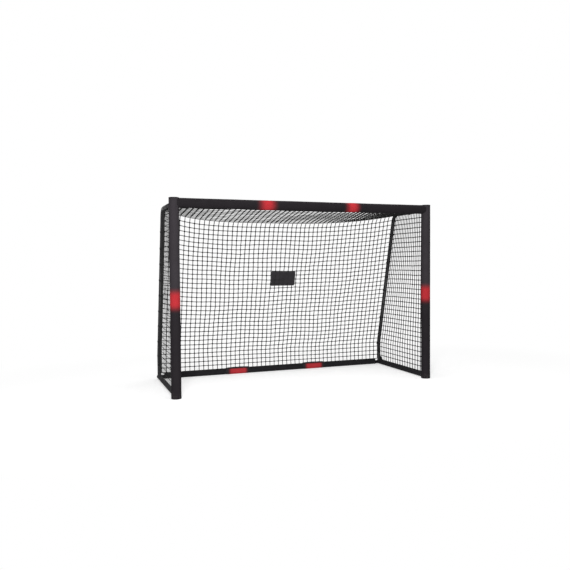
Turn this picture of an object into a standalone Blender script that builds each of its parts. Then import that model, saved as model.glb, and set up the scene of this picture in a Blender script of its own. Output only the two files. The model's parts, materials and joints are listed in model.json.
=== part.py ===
# Portable football goal: steel tube frame, padded posts and crossbar, knotted net.
# Metres, +Z up. X runs across the goal, the mouth faces -Y, the ground is z = 0.
import bpy
import bmesh
from math import acos, atan2, cos, pi, radians, sin, sqrt, tan
from mathutils import Matrix, Vector

# Overall size
GOAL_WIDTH = 2.40           # over the two post pads
GOAL_HEIGHT = 1.60          # ground to the top of the crossbar pad
GOAL_DEPTH = 0.9545         # front of the post feet to the back of the rear end caps
ROOF_CORNER_BACK = 0.563    # post centre line back to where roof and stay lines cross

# Tubes
FRAME_OD = 0.038            # posts and crossbar
BACK_OD = 0.034             # roof tubes, stays and ground bars
TUBE_WALL = 0.0012
BAR_END_REACH = 0.0215      # stay's foot to the rear end of the side ground bar
UPRIGHT_TOP = 0.12          # top of the stub that carries the stay, above the ground
STAY_BEND_HEIGHT = 0.24     # where the upright foot of the stay meets its leaning part
STAY_BEND_RADIUS = 0.10
ROOF_BEND_RADIUS = 0.080
ROOF_LEG = 0.10             # straight leg of the roof tube below its bend
SPIGOT_LENGTH = 0.065       # reduced end that pushes into the next tube
NECK_LENGTH = 0.004
GROUND_AXIS_HEIGHT = 0.0216  # ground bars' centre line above the ground

# Where the sections join
CROSSBAR_BUTTON_X = 0.40
REAR_BUTTON_X = 0.40
POST_BUTTON_HEIGHT = 0.765
BUTTON_REACH = 0.035        # tube end to the button's centre
REAR_END_REACH = 0.020      # the same at the rear bar's outer ends

# Snap buttons
BUTTON_DIAMETER = 0.0084
BUTTON_HOLE_GAP = 0.0004
BUTTON_PROUD = 0.003
LEAF_LENGTH = 0.024
LEAF_WIDTH = 0.011
LEAF_THICKNESS = 0.001

# Padding
PAD_OD = 0.080              # textile cover on posts and crossbar
COVER_WALL = 0.0007
PAD_EDGE = 0.004            # rounding at the top of a post cover
FOAM_SLIT = 0.014           # lengthwise slit at the back of each foam sleeve
FOOT_LIP = 0.002            # how far the foot stands out past the pad
FOOT_THICKNESS = 0.004
FOOT_PLUG = 0.014
END_CAP_LIP = 0.004         # how far the ground bar's end cap stands out round the tube
END_CAP_THICKNESS = 0.003
END_CAP_PLUG = 0.008

# Sleeves on the ground bars and red cuffs on the rear bar
SLEEVE_WALL = 0.002
SIDE_SLEEVE_HEIGHT = 0.050
REAR_SLEEVE_HEIGHT = 0.056
SLEEVE_FIN_RADIUS = 0.006
REAR_SLEEVE_SHORT = 0.030   # bare tube left between the rear sleeve and the stay
SLEEVE_SPLIT = 0.030        # gap between rear sleeves under a cuff
CUFF_LENGTH = 0.25
CUFF_HEIGHT = 0.072
CUFF_RADIUS = 0.024
CUFF_FIN_RADIUS = 0.014
CUFF_FLAT = 0.0005          # depth pressed flat on the ground

# Net
NET_CORD = 0.005
NET_SAG = 0.089             # drop of the fold line between roof and back at mid span
SAG_FULLNESS = (4.4, 2.3)   # power of the sag curve: more is fuller, left and right half
BACK_CELLS = (12, 8)
ROOF_CELLS = (12, 3)
SIDE_CELLS = (4, 8)
FOLD_GAP = 0.004            # back and roof nets to their shared fold line
SIDE_NET_GAP = 0.0012       # side net to the tubes, which have flats in their bends
PATCH_SIZE = (0.25, 0.145)
PATCH_THICKNESS = 0.002
PATCH_CORNER = 0.012
PATCH_HEIGHT = 0.93
PATCH_SHIFT = 0.015         # to the right of the net's middle

CLEARANCE = 0.0003          # between pieces that touch
SPIGOT_CLEARANCE = 0.0004   # between a spigot and the tube round it
SIDES = 16                  # facets round a tube
PAD_SIDES = 20              # facets round a foam sleeve, cover or foot
HOLE_SIDES = 8              # facets round a button or its hole

# Places that follow from the sizes
PAD_RADIUS = PAD_OD / 2
FRAME_R = FRAME_OD / 2
BACK_R = BACK_OD / 2
FOAM_R = PAD_RADIUS - COVER_WALL - CLEARANCE
POST_X = GOAL_WIDTH / 2 - PAD_RADIUS
CROSSBAR_Z = GOAL_HEIGHT - PAD_RADIUS
FOOT_RADIUS = PAD_RADIUS + FOOT_LIP
POST_Y = FOOT_RADIUS - GOAL_DEPTH / 2
BAR_END_Y = GOAL_DEPTH / 2 - END_CAP_THICKNESS - CLEARANCE
STAY_FOOT_Y = BAR_END_Y - BAR_END_REACH
REAR_Y = STAY_FOOT_Y
PAD_BACK = POST_Y + PAD_RADIUS + CLEARANCE
CORNER_Y = POST_Y + ROOF_CORNER_BACK
LEAN = atan2(STAY_FOOT_Y - CORNER_Y, CROSSBAR_Z - STAY_BEND_HEIGHT)
STAY_TANGENT = STAY_BEND_RADIUS * tan(LEAN / 2)
STAY_UP = Vector((0, -sin(LEAN), cos(LEAN)))
STAY_BACK = Vector((0, cos(LEAN), sin(LEAN)))
NET_BOTTOM = CUFF_HEIGHT + CLEARANCE
ROOF_TURN = pi / 2 - LEAN
ROOF_BEND_Y = CORNER_Y - ROOF_BEND_RADIUS * (1 - sin(LEAN)) / cos(LEAN)
ROOF_BEND_Z = CROSSBAR_Z - ROOF_BEND_RADIUS

X = Vector((1, 0, 0))
Y = Vector((0, 1, 0))
Z = Vector((0, 0, 1))


def clear_scene():
    for obj in list(bpy.data.objects):
        bpy.data.objects.remove(obj, do_unlink=True)


def material(name, colour, roughness, metallic=0.0):
    mat = bpy.data.materials.new(name)
    mat.use_nodes = True
    shader = mat.node_tree.nodes["Principled BSDF"]
    shader.inputs["Base Color"].default_value = (*colour, 1)
    shader.inputs["Roughness"].default_value = roughness
    shader.inputs["Metallic"].default_value = metallic
    return mat


def add_object(name, bm, mat=None, smooth=True):
    """Close a bmesh into a named object with its faces pointing out."""
    bmesh.ops.recalc_face_normals(bm, faces=bm.faces)
    if all(edge.is_manifold for edge in bm.edges) and bm.calc_volume(signed=True) < 0:
        bmesh.ops.reverse_faces(bm, faces=bm.faces)
    mesh = bpy.data.meshes.new(name)
    bm.to_mesh(mesh)
    bm.free()
    if smooth:
        mesh.shade_smooth()
        mesh.set_sharp_from_angle(angle=radians(40))
    obj = bpy.data.objects.new(name, mesh)
    bpy.context.collection.objects.link(obj)
    if mat:
        mesh.materials.append(mat)
    return obj


def as_guide(obj):
    """A cutter or an added lump, which isn't a piece of the goal itself."""
    obj.hide_render = True
    obj.display_type = "WIRE"
    return obj


def combine(obj, operation, other):
    step = obj.modifiers.new(operation.title(), "BOOLEAN")
    step.operation = operation
    step.object = other
    step.solver = "EXACT"


def axes_matrix(origin, heading, across):
    """Local Z along heading and local X along across, placed at origin."""
    z_axis = heading.normalized()
    y_axis = z_axis.cross(across).normalized()
    x_axis = y_axis.cross(z_axis)
    turn = Matrix((x_axis, y_axis, z_axis)).transposed().to_4x4()
    return Matrix.Translation(origin) @ turn


def ring(bm, origin, heading, across, radius, sides=SIDES):
    made = bmesh.ops.create_circle(bm, cap_ends=False, radius=radius, segments=sides,
                                   matrix=axes_matrix(origin, heading, across))
    verts = made["verts"]
    return [edge for edge in bm.edges if edge.verts[0] in verts and edge.verts[1] in verts]


def edge_verts(edges):
    return list({vert for edge in edges for vert in edge.verts})


def carry(bm, edges, step, factor=1.0):
    """Extrude a ring of edges by a step and scale the new ring about its centre."""
    made = bmesh.ops.extrude_edge_only(bm, edges=edges)["geom"]
    fresh = [item for item in made if isinstance(item, bmesh.types.BMEdge)]
    verts = [item for item in made if isinstance(item, bmesh.types.BMVert)]
    ends = [edge for edge in fresh if edge.verts[0] in verts and edge.verts[1] in verts]
    bmesh.ops.translate(bm, vec=step, verts=verts)
    if factor != 1.0:
        centre = sum((vert.co for vert in verts), Vector()) / len(verts)
        bmesh.ops.scale(bm, vec=(factor, factor, factor), verts=verts,
                        space=Matrix.Translation(-centre))
    return ends


def pipe_skin(bm, origin, heading, across, radius, path, sides=SIDES):
    """Carry a ring along runs, necks and bends; return its first and last edges.

    A step is ("run", length), ("neck", length, new radius) or
    ("bend", radius, angle, axis, facets). A bend turns the heading about the axis.
    """
    place = Vector(origin)
    heading = Vector(heading)
    first = ring(bm, place, heading, across, radius, sides)
    last = first
    for step in path:
        if step[0] == "run":
            last = carry(bm, last, heading * step[1])
            place = place + heading * step[1]
        elif step[0] == "neck":
            last = carry(bm, last, heading * step[1], step[2] / radius)
            place = place + heading * step[1]
            radius = step[2]
        else:
            bend_radius, angle, axis, facets = step[1:]
            centre = place + axis.cross(heading) * bend_radius
            made = bmesh.ops.spin(bm, geom=last, cent=centre, axis=axis, dvec=(0, 0, 0),
                                  angle=angle, steps=facets, use_duplicate=False)
            last = [item for item in made["geom_last"] if isinstance(item, bmesh.types.BMEdge)]
            turn = Matrix.Rotation(angle, 3, axis)
            place = centre + turn @ (place - centre)
            heading = turn @ heading
    return first, last


def close_ring(bm, edges):
    bmesh.ops.contextual_create(bm, geom=edges)


def close_wall(bm, outer, inner):
    """Join two rings with the same centre by a face from each outer edge to its neighbour."""
    middles = {edge: (edge.verts[0].co + edge.verts[1].co) / 2 for edge in outer + inner}
    for edge in outer:
        partner = min(inner, key=lambda other: (middles[other] - middles[edge]).length)
        bmesh.ops.contextual_create(bm, geom=[edge, partner])


def rod(name, origin, heading, across, radius, path, mat=None, sides=SIDES):
    """A solid bar along a pipe's path, closed at both ends."""
    bm = bmesh.new()
    for edges in pipe_skin(bm, origin, heading, across, radius, path, sides):
        close_ring(bm, edges)
    return add_object(name, bm, mat)


def tube(name, origin, heading, across, radius, wall, path, mat, sides=SIDES):
    """A tube open at both ends, the same wall all along its path."""
    inner_path = [step if step[0] != "neck" else ("neck", step[1], step[2] - wall)
                  for step in path]
    bm = bmesh.new()
    outer = pipe_skin(bm, origin, heading, across, radius, path, sides)
    inner = pipe_skin(bm, origin, heading, across, radius - wall, inner_path, sides)
    for outer_end, inner_end in zip(outer, inner):
        close_wall(bm, outer_end, inner_end)
    return add_object(name, bm, mat)


def spigot_path(tube_radius):
    """Neck down to the size that slides into a tube of the same diameter, then run."""
    spigot_radius = tube_radius - TUBE_WALL - SPIGOT_CLEARANCE
    return [("neck", NECK_LENGTH, spigot_radius), ("run", SPIGOT_LENGTH)]


def drill(name, origin, heading, radius, depth, targets, sides=HOLE_SIDES, across=None):
    """One cutter that goes through every target."""
    cutter = as_guide(rod(name, origin, heading, across or side_of(heading), radius,
                          [("run", depth)], sides=sides))
    for target in targets:
        combine(target, "DIFFERENCE", cutter)


def side_of(heading):
    """A direction square to the heading, in the goal's own axes."""
    return X if abs(heading.dot(X)) < 0.5 else Y


def snap_button(name, place, outward, along, tube_radius, walls, mat):
    """A sprung button on its leaf, inside a spigot, and the hole it comes out of.

    place is on the tubes' centre line, outward the way the button points, along the
    tubes' direction. Its origin is there too, on the line that it slides along.
    """
    bore = tube_radius - 2 * TUBE_WALL - SPIGOT_CLEARANCE
    flat = bore * cos(pi / SIDES)
    leaf_top = sqrt(flat ** 2 - (LEAF_WIDTH / 2) ** 2) - CLEARANCE
    leaf_foot = leaf_top - LEAF_THICKNESS
    head_top = tube_radius + BUTTON_PROUD
    rim = BUTTON_PROUD / 3
    head = BUTTON_DIAMETER / 2
    stretch = (LEAF_LENGTH - LEAF_WIDTH) / 2
    bm = bmesh.new()
    foot = ring(bm, Z * leaf_foot, Z, X, LEAF_WIDTH / 2, HOLE_SIDES)
    for vert in edge_verts(foot):
        if abs(vert.co.x) > CLEARANCE:
            vert.co.x += stretch if vert.co.x > 0 else -stretch
    deck = carry(bm, foot, Z * LEAF_THICKNESS)
    neck = carry(bm, deck, Vector())
    for vert in edge_verts(neck):
        if abs(vert.co.x) > CLEARANCE:
            vert.co.x -= stretch if vert.co.x > 0 else -stretch
        vert.co.xy = vert.co.xy * (head / (LEAF_WIDTH / 2))
    shoulder = carry(bm, neck, Z * (head_top - rim - leaf_top))
    crown = carry(bm, shoulder, Z * rim, (head - rim) / head)
    close_ring(bm, foot)
    close_ring(bm, crown)
    button = add_object(name, bm, mat)
    button.matrix_world = axes_matrix(place, outward, along)
    start = bore - 2 * LEAF_THICKNESS
    drill(name + "_hole", place + outward * start, outward, head + BUTTON_HOLE_GAP,
          head_top + CLEARANCE - start, walls, across=along)
    return button


def middle_section(name, axis, joint_x, radius, mat):
    """A straight tube that ends in a spigot at both joints."""
    spigot = radius - TUBE_WALL - SPIGOT_CLEARANCE
    path = [("run", SPIGOT_LENGTH), ("neck", NECK_LENGTH, radius),
            ("run", 2 * (joint_x - NECK_LENGTH))] + spigot_path(radius)
    return tube(name, axis - X * (joint_x + SPIGOT_LENGTH), X, Z, spigot, TUBE_WALL, path, mat)


def crossbar_tubes(mat):
    """Middle section with a spigot at each end; outer sections with welded corners."""
    joint_x = CROSSBAR_BUTTON_X - BUTTON_REACH
    bar_axis = Vector((0, POST_Y, CROSSBAR_Z))
    spigot = FRAME_R - TUBE_WALL - SPIGOT_CLEARANCE
    middle = middle_section("crossbar_middle", bar_axis, joint_x, FRAME_R, mat)
    outers = []
    for side, name in ((-1, "left"), (1, "right")):
        inward = X * -side
        corner = bar_axis + X * side * POST_X
        end = corner - inward * FRAME_R
        length = POST_X + FRAME_R - joint_x - CLEARANCE
        outer = rod("crossbar_" + name, end, inward, Z, FRAME_R, [("run", length)], mat)
        down = rod("down_stub_" + name, corner, -Z, X, spigot,
                   [("run", FRAME_R + SPIGOT_LENGTH)])
        back_spigot = BACK_R - TUBE_WALL - SPIGOT_CLEARANCE
        back = rod("roof_stub_" + name, corner, Y, X, back_spigot,
                   [("run", FRAME_R + SPIGOT_LENGTH)])
        for stub in (down, back):
            combine(outer, "UNION", as_guide(stub))
        bore_x = end + inward * 2 * TUBE_WALL
        drill("crossbar_bore_" + name, bore_x, inward, FRAME_R - TUBE_WALL, length,
              [outer], SIDES, Z)
        drill("down_bore_" + name, corner, -Z, spigot - TUBE_WALL,
              FRAME_R + 2 * SPIGOT_LENGTH, [outer], SIDES, X)
        drill("roof_bore_" + name, corner, Y, back_spigot - TUBE_WALL,
              FRAME_R + 2 * SPIGOT_LENGTH, [outer], SIDES, X)
        outers.append(outer)
    return outers[0], middle, outers[1]


def post_tubes(side, name, mat):
    """Lower post with a spigot on top and a welded stub for the ground bar; upper post."""
    axis = Vector((side * POST_X, POST_Y, 0))
    foot_z = FOOT_THICKNESS + CLEARANCE
    joint_z = POST_BUTTON_HEIGHT - BUTTON_REACH
    spigot = FRAME_R - TUBE_WALL - SPIGOT_CLEARANCE
    lower = rod("lower_post_" + name, axis + Z * foot_z, Z, X, FRAME_R,
                [("run", joint_z - NECK_LENGTH - foot_z)] + spigot_path(FRAME_R), mat)
    stub_r = BACK_R - TUBE_WALL - SPIGOT_CLEARANCE
    stub_base = axis + Z * GROUND_AXIS_HEIGHT
    stub = rod("ground_stub_" + name, stub_base, Y, X, stub_r,
               [("run", FRAME_R + SPIGOT_LENGTH)])
    combine(lower, "UNION", as_guide(stub))
    bore_path = [("run", joint_z - NECK_LENGTH), ("neck", NECK_LENGTH, spigot - TUBE_WALL),
                 ("run", 2 * SPIGOT_LENGTH)]
    bore = rod("lower_bore_" + name, axis, Z, X, FRAME_R - TUBE_WALL, bore_path)
    combine(lower, "DIFFERENCE", as_guide(bore))
    drill("ground_bore_" + name, stub_base, Y, stub_r - TUBE_WALL,
          FRAME_R + 2 * SPIGOT_LENGTH, [lower], SIDES, X)
    bottom = joint_z + CLEARANCE
    top = CROSSBAR_Z - FRAME_R - CLEARANCE
    upper = tube("upper_post_" + name, axis + Z * bottom, Z, X, FRAME_R, TUBE_WALL,
                 [("run", top - bottom)], mat)
    return lower, upper


def post_foot(side, name, mat):
    """Plastic foot that plugs into the post and ends its pad."""
    bm = bmesh.new()
    base = Vector((side * POST_X, POST_Y, 0))
    edge = FOOT_THICKNESS / 4
    plug_r = FRAME_R - TUBE_WALL - SPIGOT_CLEARANCE
    first = ring(bm, base, Z, X, FOOT_RADIUS - edge, PAD_SIDES)
    last = carry(bm, first, Z * edge, FOOT_RADIUS / (FOOT_RADIUS - edge))
    last = carry(bm, last, Z * (FOOT_THICKNESS - edge))
    last = carry(bm, last, Vector(), plug_r / FOOT_RADIUS)
    last = carry(bm, last, Z * (FOOT_PLUG - edge))
    last = carry(bm, last, Z * edge, (plug_r - edge) / plug_r)
    for edges in (first, last):
        close_ring(bm, edges)
    return add_object("post_foot_" + name, bm, mat)


def roof_tube(side, name, mat):
    """From the crossbar corner back, over the bend and down to the stay."""
    start = Vector((side * POST_X, POST_Y + FRAME_R + CLEARANCE, CROSSBAR_Z))
    path = [("run", ROOF_BEND_Y - start.y),
            ("bend", ROOF_BEND_RADIUS, ROOF_TURN, -X, 5),
            ("run", ROOF_LEG)] + spigot_path(BACK_R)
    return tube("roof_tube_" + name, start, Y, X, BACK_R, TUBE_WALL, path, mat)


def roof_leg_end():
    """Where the roof tube's leg ends and the stay begins, on the goal's centre plane."""
    centre = Vector((0, ROOF_BEND_Y, ROOF_BEND_Z))
    leg_end = centre + STAY_BACK * ROOF_BEND_RADIUS - STAY_UP * (ROOF_LEG + NECK_LENGTH)
    return leg_end - STAY_UP * CLEARANCE


def stay_tube(side, name, mat):
    """Upright from the corner's stub, over a slight bend and up to the roof tube."""
    foot = Vector((side * POST_X, STAY_FOOT_Y, 0))
    bottom = foot + Z * (UPRIGHT_TOP + NECK_LENGTH + CLEARANCE)
    bend_end = foot + Z * STAY_BEND_HEIGHT + STAY_UP * STAY_TANGENT
    top = roof_leg_end() + X * side * POST_X
    path = [("run", STAY_BEND_HEIGHT - STAY_TANGENT - bottom.z),
            ("bend", STAY_BEND_RADIUS, LEAN, X, 3), ("run", (top - bend_end).length)]
    return tube("stay_" + name, bottom, Z, X, BACK_R, TUBE_WALL, path, mat)


def side_ground_tube(side, name, mat):
    """From the post back to the rear corner, with a stub up for the stay and one inward."""
    start = Vector((side * POST_X, POST_Y + FRAME_R + CLEARANCE, GROUND_AXIS_HEIGHT))
    corner = Vector((side * POST_X, STAY_FOOT_Y, GROUND_AXIS_HEIGHT))
    inward = X * -side
    length = BAR_END_Y - start.y
    spigot = BACK_R - TUBE_WALL - SPIGOT_CLEARANCE
    rise = UPRIGHT_TOP - GROUND_AXIS_HEIGHT
    bar = rod("ground_bar_" + name, start, Y, X, BACK_R, [("run", length)], mat)
    upright = rod("upright_stub_" + name, corner, Z, X, BACK_R - CLEARANCE,
                  [("run", rise)] + spigot_path(BACK_R))
    rear = rod("rear_stub_" + name, corner, inward, Z, spigot,
               [("run", BACK_R + SPIGOT_LENGTH)])
    for stub in (upright, rear):
        combine(bar, "UNION", as_guide(stub))
    drill("ground_bar_bore_" + name, start - Y * BACK_R, Y, BACK_R - TUBE_WALL,
          length + BACK_OD, [bar], SIDES, X)
    upright_bore = rod("upright_bore_" + name, corner, Z, X, BACK_R - TUBE_WALL - CLEARANCE,
                       [("run", rise), ("neck", NECK_LENGTH, spigot - TUBE_WALL),
                        ("run", 2 * SPIGOT_LENGTH)])
    combine(bar, "DIFFERENCE", as_guide(upright_bore))
    drill("rear_stub_bore_" + name, corner, inward, spigot - TUBE_WALL,
          BACK_R + 2 * SPIGOT_LENGTH, [bar], SIDES, Z)
    return bar


def end_cap(side, name, mat):
    """Plastic cap pushed into the rear end of a side ground bar."""
    bm = bmesh.new()
    back = Vector((side * POST_X, GOAL_DEPTH / 2, GROUND_AXIS_HEIGHT))
    edge = END_CAP_THICKNESS / 3
    rim = BACK_R + END_CAP_LIP
    plug_r = BACK_R - TUBE_WALL - SPIGOT_CLEARANCE
    first = ring(bm, back, -Y, X, rim - edge, SIDES)
    last = carry(bm, first, -Y * edge, rim / (rim - edge))
    last = carry(bm, last, -Y * (END_CAP_THICKNESS - edge))
    last = carry(bm, last, Vector(), plug_r / rim)
    last = carry(bm, last, -Y * (END_CAP_PLUG - edge))
    last = carry(bm, last, -Y * edge, (plug_r - edge) / plug_r)
    for edges in (first, last):
        close_ring(bm, edges)
    return add_object("end_cap_" + name, bm, mat)


def rear_tubes(mat):
    """Middle section with a spigot at each end, between two outer sections."""
    joint_x = REAR_BUTTON_X - BUTTON_REACH
    axis = Vector((0, REAR_Y, GROUND_AXIS_HEIGHT))
    middle = middle_section("rear_bar_middle", axis, joint_x, BACK_R, mat)
    outers = []
    outer_x = POST_X - BACK_R - CLEARANCE
    inner_x = joint_x + CLEARANCE
    for side, name in ((-1, "left"), (1, "right")):
        start = axis + X * side * inner_x
        outers.append(tube("rear_bar_" + name, start, X * side, Z, BACK_R, TUBE_WALL,
                           [("run", outer_x - inner_x)], mat))
    return outers[0], middle, outers[1]


def all_buttons(tubes, mat):
    """A button at every joint of the frame, each in the spigot that carries it."""
    bar = Vector((0, POST_Y, CROSSBAR_Z))
    rear = Vector((0, REAR_Y, GROUND_AXIS_HEIGHT))
    foot_button_z = UPRIGHT_TOP + NECK_LENGTH + CLEARANCE + BUTTON_REACH
    for side, name in ((-1, "left"), (1, "right")):
        shift = X * side
        post = Vector((side * POST_X, POST_Y, 0))
        inward = -shift
        snap_button("button_crossbar_" + name, bar + shift * CROSSBAR_BUTTON_X, Y, X,
                    FRAME_R, [tubes["crossbar_middle"], tubes["crossbar_" + name]], mat)
        snap_button("button_post_top_" + name,
                    post + Z * (CROSSBAR_Z - FRAME_R - BUTTON_REACH), Y, Z,
                    FRAME_R, [tubes["crossbar_" + name], tubes["upper_post_" + name]], mat)
        snap_button("button_post_" + name, post + Z * POST_BUTTON_HEIGHT, Y, Z,
                    FRAME_R, [tubes["lower_post_" + name], tubes["upper_post_" + name]], mat)
        snap_button("button_roof_" + name,
                    post + Y * (FRAME_R + BUTTON_REACH) + Z * CROSSBAR_Z, Z, Y,
                    BACK_R, [tubes["crossbar_" + name], tubes["roof_tube_" + name]], mat)
        snap_button("button_stay_top_" + name,
                    shift * POST_X + roof_leg_end() - STAY_UP * BUTTON_REACH, STAY_BACK,
                    STAY_UP, BACK_R, [tubes["roof_tube_" + name], tubes["stay_" + name]], mat)
        snap_button("button_stay_foot_" + name,
                    Vector((side * POST_X, STAY_FOOT_Y, foot_button_z)), Y, Z,
                    BACK_R, [tubes["ground_bar_" + name], tubes["stay_" + name]], mat)
        snap_button("button_ground_" + name,
                    post + Y * (FRAME_R + BUTTON_REACH) + Z * GROUND_AXIS_HEIGHT, inward, Y,
                    BACK_R, [tubes["lower_post_" + name], tubes["ground_bar_" + name],
                             tubes["ground_sleeve_" + name]], mat)
        snap_button("button_rear_end_" + name,
                    rear + shift * (POST_X - BACK_R - REAR_END_REACH), Y, X,
                    BACK_R, [tubes["ground_bar_" + name], tubes["rear_bar_" + name]], mat)
        snap_button("button_rear_" + name, rear + shift * REAR_BUTTON_X, Y, X,
                    BACK_R, [tubes["rear_bar_middle"], tubes["rear_bar_" + name],
                             tubes["red_cuff_" + name]], mat)


def foam_sleeve(name, start, heading, across, length, mat):
    """A foam tube with a slit along its back, so that it clips over the steel."""
    bore = FRAME_R + CLEARANCE
    sleeve = tube(name, start, heading, across, FOAM_R, FOAM_R - bore, [("run", length)], mat,
                  PAD_SIDES)
    bm = bmesh.new()
    size = Vector((FOAM_SLIT, FOAM_SLIT, FOAM_SLIT)) + heading * (length + PAD_OD)
    size.y = 2 * FOAM_R
    middle = start + heading * length / 2 + Y * FOAM_R
    bmesh.ops.create_cube(bm, size=1.0, matrix=Matrix.Translation(middle) @ Matrix.Diagonal(
        (abs(size.x), abs(size.y), abs(size.z), 1)))
    combine(sleeve, "DIFFERENCE", as_guide(add_object(name + "_slit", bm, smooth=False)))
    return sleeve


def post_padding(side, name, foam_mat, cover_mat):
    """Two foam sleeves in one textile cover, open where tubes join the post."""
    axis = Vector((side * POST_X, POST_Y, 0))
    inward = X * -side
    bottom = FOOT_THICKNESS + CLEARANCE
    joint_z = POST_BUTTON_HEIGHT - BUTTON_REACH
    foam_top = GOAL_HEIGHT - COVER_WALL - CLEARANCE - PAD_EDGE
    lower = foam_sleeve("foam_lower_" + name, axis + Z * bottom, Z, X,
                        joint_z - bottom, foam_mat)
    upper = foam_sleeve("foam_upper_" + name, axis + Z * (joint_z + CLEARANCE), Z, X,
                        foam_top - joint_z, foam_mat)
    bm = bmesh.new()
    tall = GOAL_HEIGHT - PAD_EDGE - bottom
    slope = PAD_RADIUS - PAD_EDGE
    outer = pipe_skin(bm, axis + Z * bottom, Z, X, PAD_RADIUS,
                      [("run", tall), ("neck", PAD_EDGE, slope)], PAD_SIDES)
    inner = pipe_skin(bm, axis + Z * bottom, Z, X, PAD_RADIUS - COVER_WALL,
                      [("run", tall - COVER_WALL), ("neck", PAD_EDGE, slope - COVER_WALL)],
                      PAD_SIDES)
    close_wall(bm, outer[0], inner[0])
    close_ring(bm, outer[1])
    close_ring(bm, inner[1])
    cover = add_object("post_cover_" + name, bm, cover_mat)
    drill("roof_opening_" + name, axis + Z * CROSSBAR_Z, Y, BACK_R + CLEARANCE, PAD_OD,
          [upper, cover], SIDES, X)
    drill("crossbar_opening_" + name, axis + Z * CROSSBAR_Z - inward * (FRAME_R + CLEARANCE),
          inward, FRAME_R + CLEARANCE, PAD_OD + FRAME_OD, [upper, cover], SIDES, Z)
    slot = rod("ground_opening_" + name, axis + Z * GROUND_AXIS_HEIGHT, Y, X,
               BACK_R + CLEARANCE, [("run", PAD_OD)])
    for vert in slot.data.vertices:
        if vert.co.z < GROUND_AXIS_HEIGHT - CLEARANCE:
            vert.co.z -= BACK_R
    for target in (lower, cover):
        combine(target, "DIFFERENCE", as_guide(slot))
    return lower, upper, cover


def crossbar_padding(foam_mat, cover_mat):
    """Three foam sleeves in one cover, hollowed at the ends to fit the post pads."""
    joint_x = CROSSBAR_BUTTON_X - BUTTON_REACH
    axis = Vector((0, POST_Y, CROSSBAR_Z))
    middle = foam_sleeve("foam_crossbar_middle", axis - X * joint_x, X, Z, 2 * joint_x,
                         foam_mat)
    pieces = [middle]
    pad_end = POST_X - PAD_RADIUS / 2
    length = pad_end - joint_x - CLEARANCE
    left = foam_sleeve("foam_crossbar_left", axis - X * pad_end, X, Z, length, foam_mat)
    right = foam_sleeve("foam_crossbar_right", axis + X * (joint_x + CLEARANCE), X, Z,
                        length, foam_mat)
    cover = tube("crossbar_cover", axis - X * pad_end, X, Z, PAD_RADIUS, COVER_WALL,
                 [("run", 2 * pad_end)], cover_mat, PAD_SIDES)
    for side, name, foam in ((-1, "left", left), (1, "right", right)):
        base = Vector((side * POST_X, POST_Y, CROSSBAR_Z - PAD_OD))
        drill("saddle_" + name, base, Z, PAD_RADIUS + CLEARANCE, 2 * PAD_OD,
              [foam, cover], PAD_SIDES, X)
        pieces.append(foam)
    return pieces + [cover]


def drop_outline(low_radius, low_z, fin_radius, top_z):
    """Points of a drop shape: round below, narrowing to a small round fin on top.

    The straight flanks touch both circles, and every other point lies on one of them.
    The round part has an odd number of steps, so its lowest one lies level.
    """
    fin_z = top_z - fin_radius
    tilt = acos((low_radius - fin_radius) / (fin_z - low_z))
    points = []
    low_steps = SIDES * 3 // 4 + 1
    for step in range(low_steps + 1):
        angle = pi / 2 + tilt + (2 * pi - 2 * tilt) * step / low_steps
        points.append((low_radius * cos(angle), low_z + low_radius * sin(angle)))
    fin_steps = SIDES // 4
    for step in range(fin_steps + 1):
        angle = pi / 2 - tilt + 2 * tilt * step / fin_steps
        points.append((fin_radius * cos(angle), fin_z + fin_radius * sin(angle)))
    return points


def extruded(name, outline, place, sideways, heading, length, mat=None):
    """Extrude a closed outline that is drawn across the heading."""
    bm = bmesh.new()
    verts = [bm.verts.new(place + sideways * across + Z * up) for across, up in outline]
    edges = [bm.edges.new((verts[i - 1], verts[i])) for i in range(len(verts))]
    far_edges = carry(bm, edges, heading * length)
    close_ring(bm, edges)
    close_ring(bm, far_edges)
    return add_object(name, bm, mat)


def sleeve_outline(height, extra=0.0):
    """A ground bar's sleeve in section, larger by extra all round."""
    low = BACK_R + CLEARANCE + SLEEVE_WALL
    top = GROUND_AXIS_HEIGHT - low + height
    return drop_outline(low + extra, GROUND_AXIS_HEIGHT, SLEEVE_FIN_RADIUS + extra, top + extra)


def ground_sleeve(name, place, sideways, heading, length, height, mat):
    """A textile sleeve round a ground bar, gathered above it into a fin for the net."""
    sleeve = extruded(name, sleeve_outline(height), place, sideways, heading, length, mat)
    bar_axis = place + Z * GROUND_AXIS_HEIGHT
    across = X if heading == Y else Z
    drill(name + "_bore", bar_axis - heading * BACK_OD, heading, BACK_R + CLEARANCE,
          length + 2 * BACK_OD, [sleeve], SIDES, across)
    return sleeve


def ground_sleeves(mat):
    sleeves = {}
    front = POST_Y + FOOT_RADIUS + CLEARANCE
    side_length = REAR_Y - BACK_R - CLEARANCE - front
    for side, name in ((-1, "left"), (1, "right")):
        place = Vector((side * POST_X, front, 0))
        sleeves["ground_sleeve_" + name] = ground_sleeve(
            "ground_sleeve_" + name, place, X, Y, side_length, SIDE_SLEEVE_HEIGHT, mat)
    outer = POST_X - BACK_R - REAR_SLEEVE_SHORT
    split = REAR_BUTTON_X + SLEEVE_SPLIT / 2
    inner = REAR_BUTTON_X - SLEEVE_SPLIT / 2
    for name, low, high in (("left", -outer, -split), ("middle", -inner, inner),
                            ("right", split, outer)):
        place = Vector((low, REAR_Y, 0))
        sleeves["rear_sleeve_" + name] = ground_sleeve(
            "rear_sleeve_" + name, place, Y, X, high - low, REAR_SLEEVE_HEIGHT, mat)
    return sleeves


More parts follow.
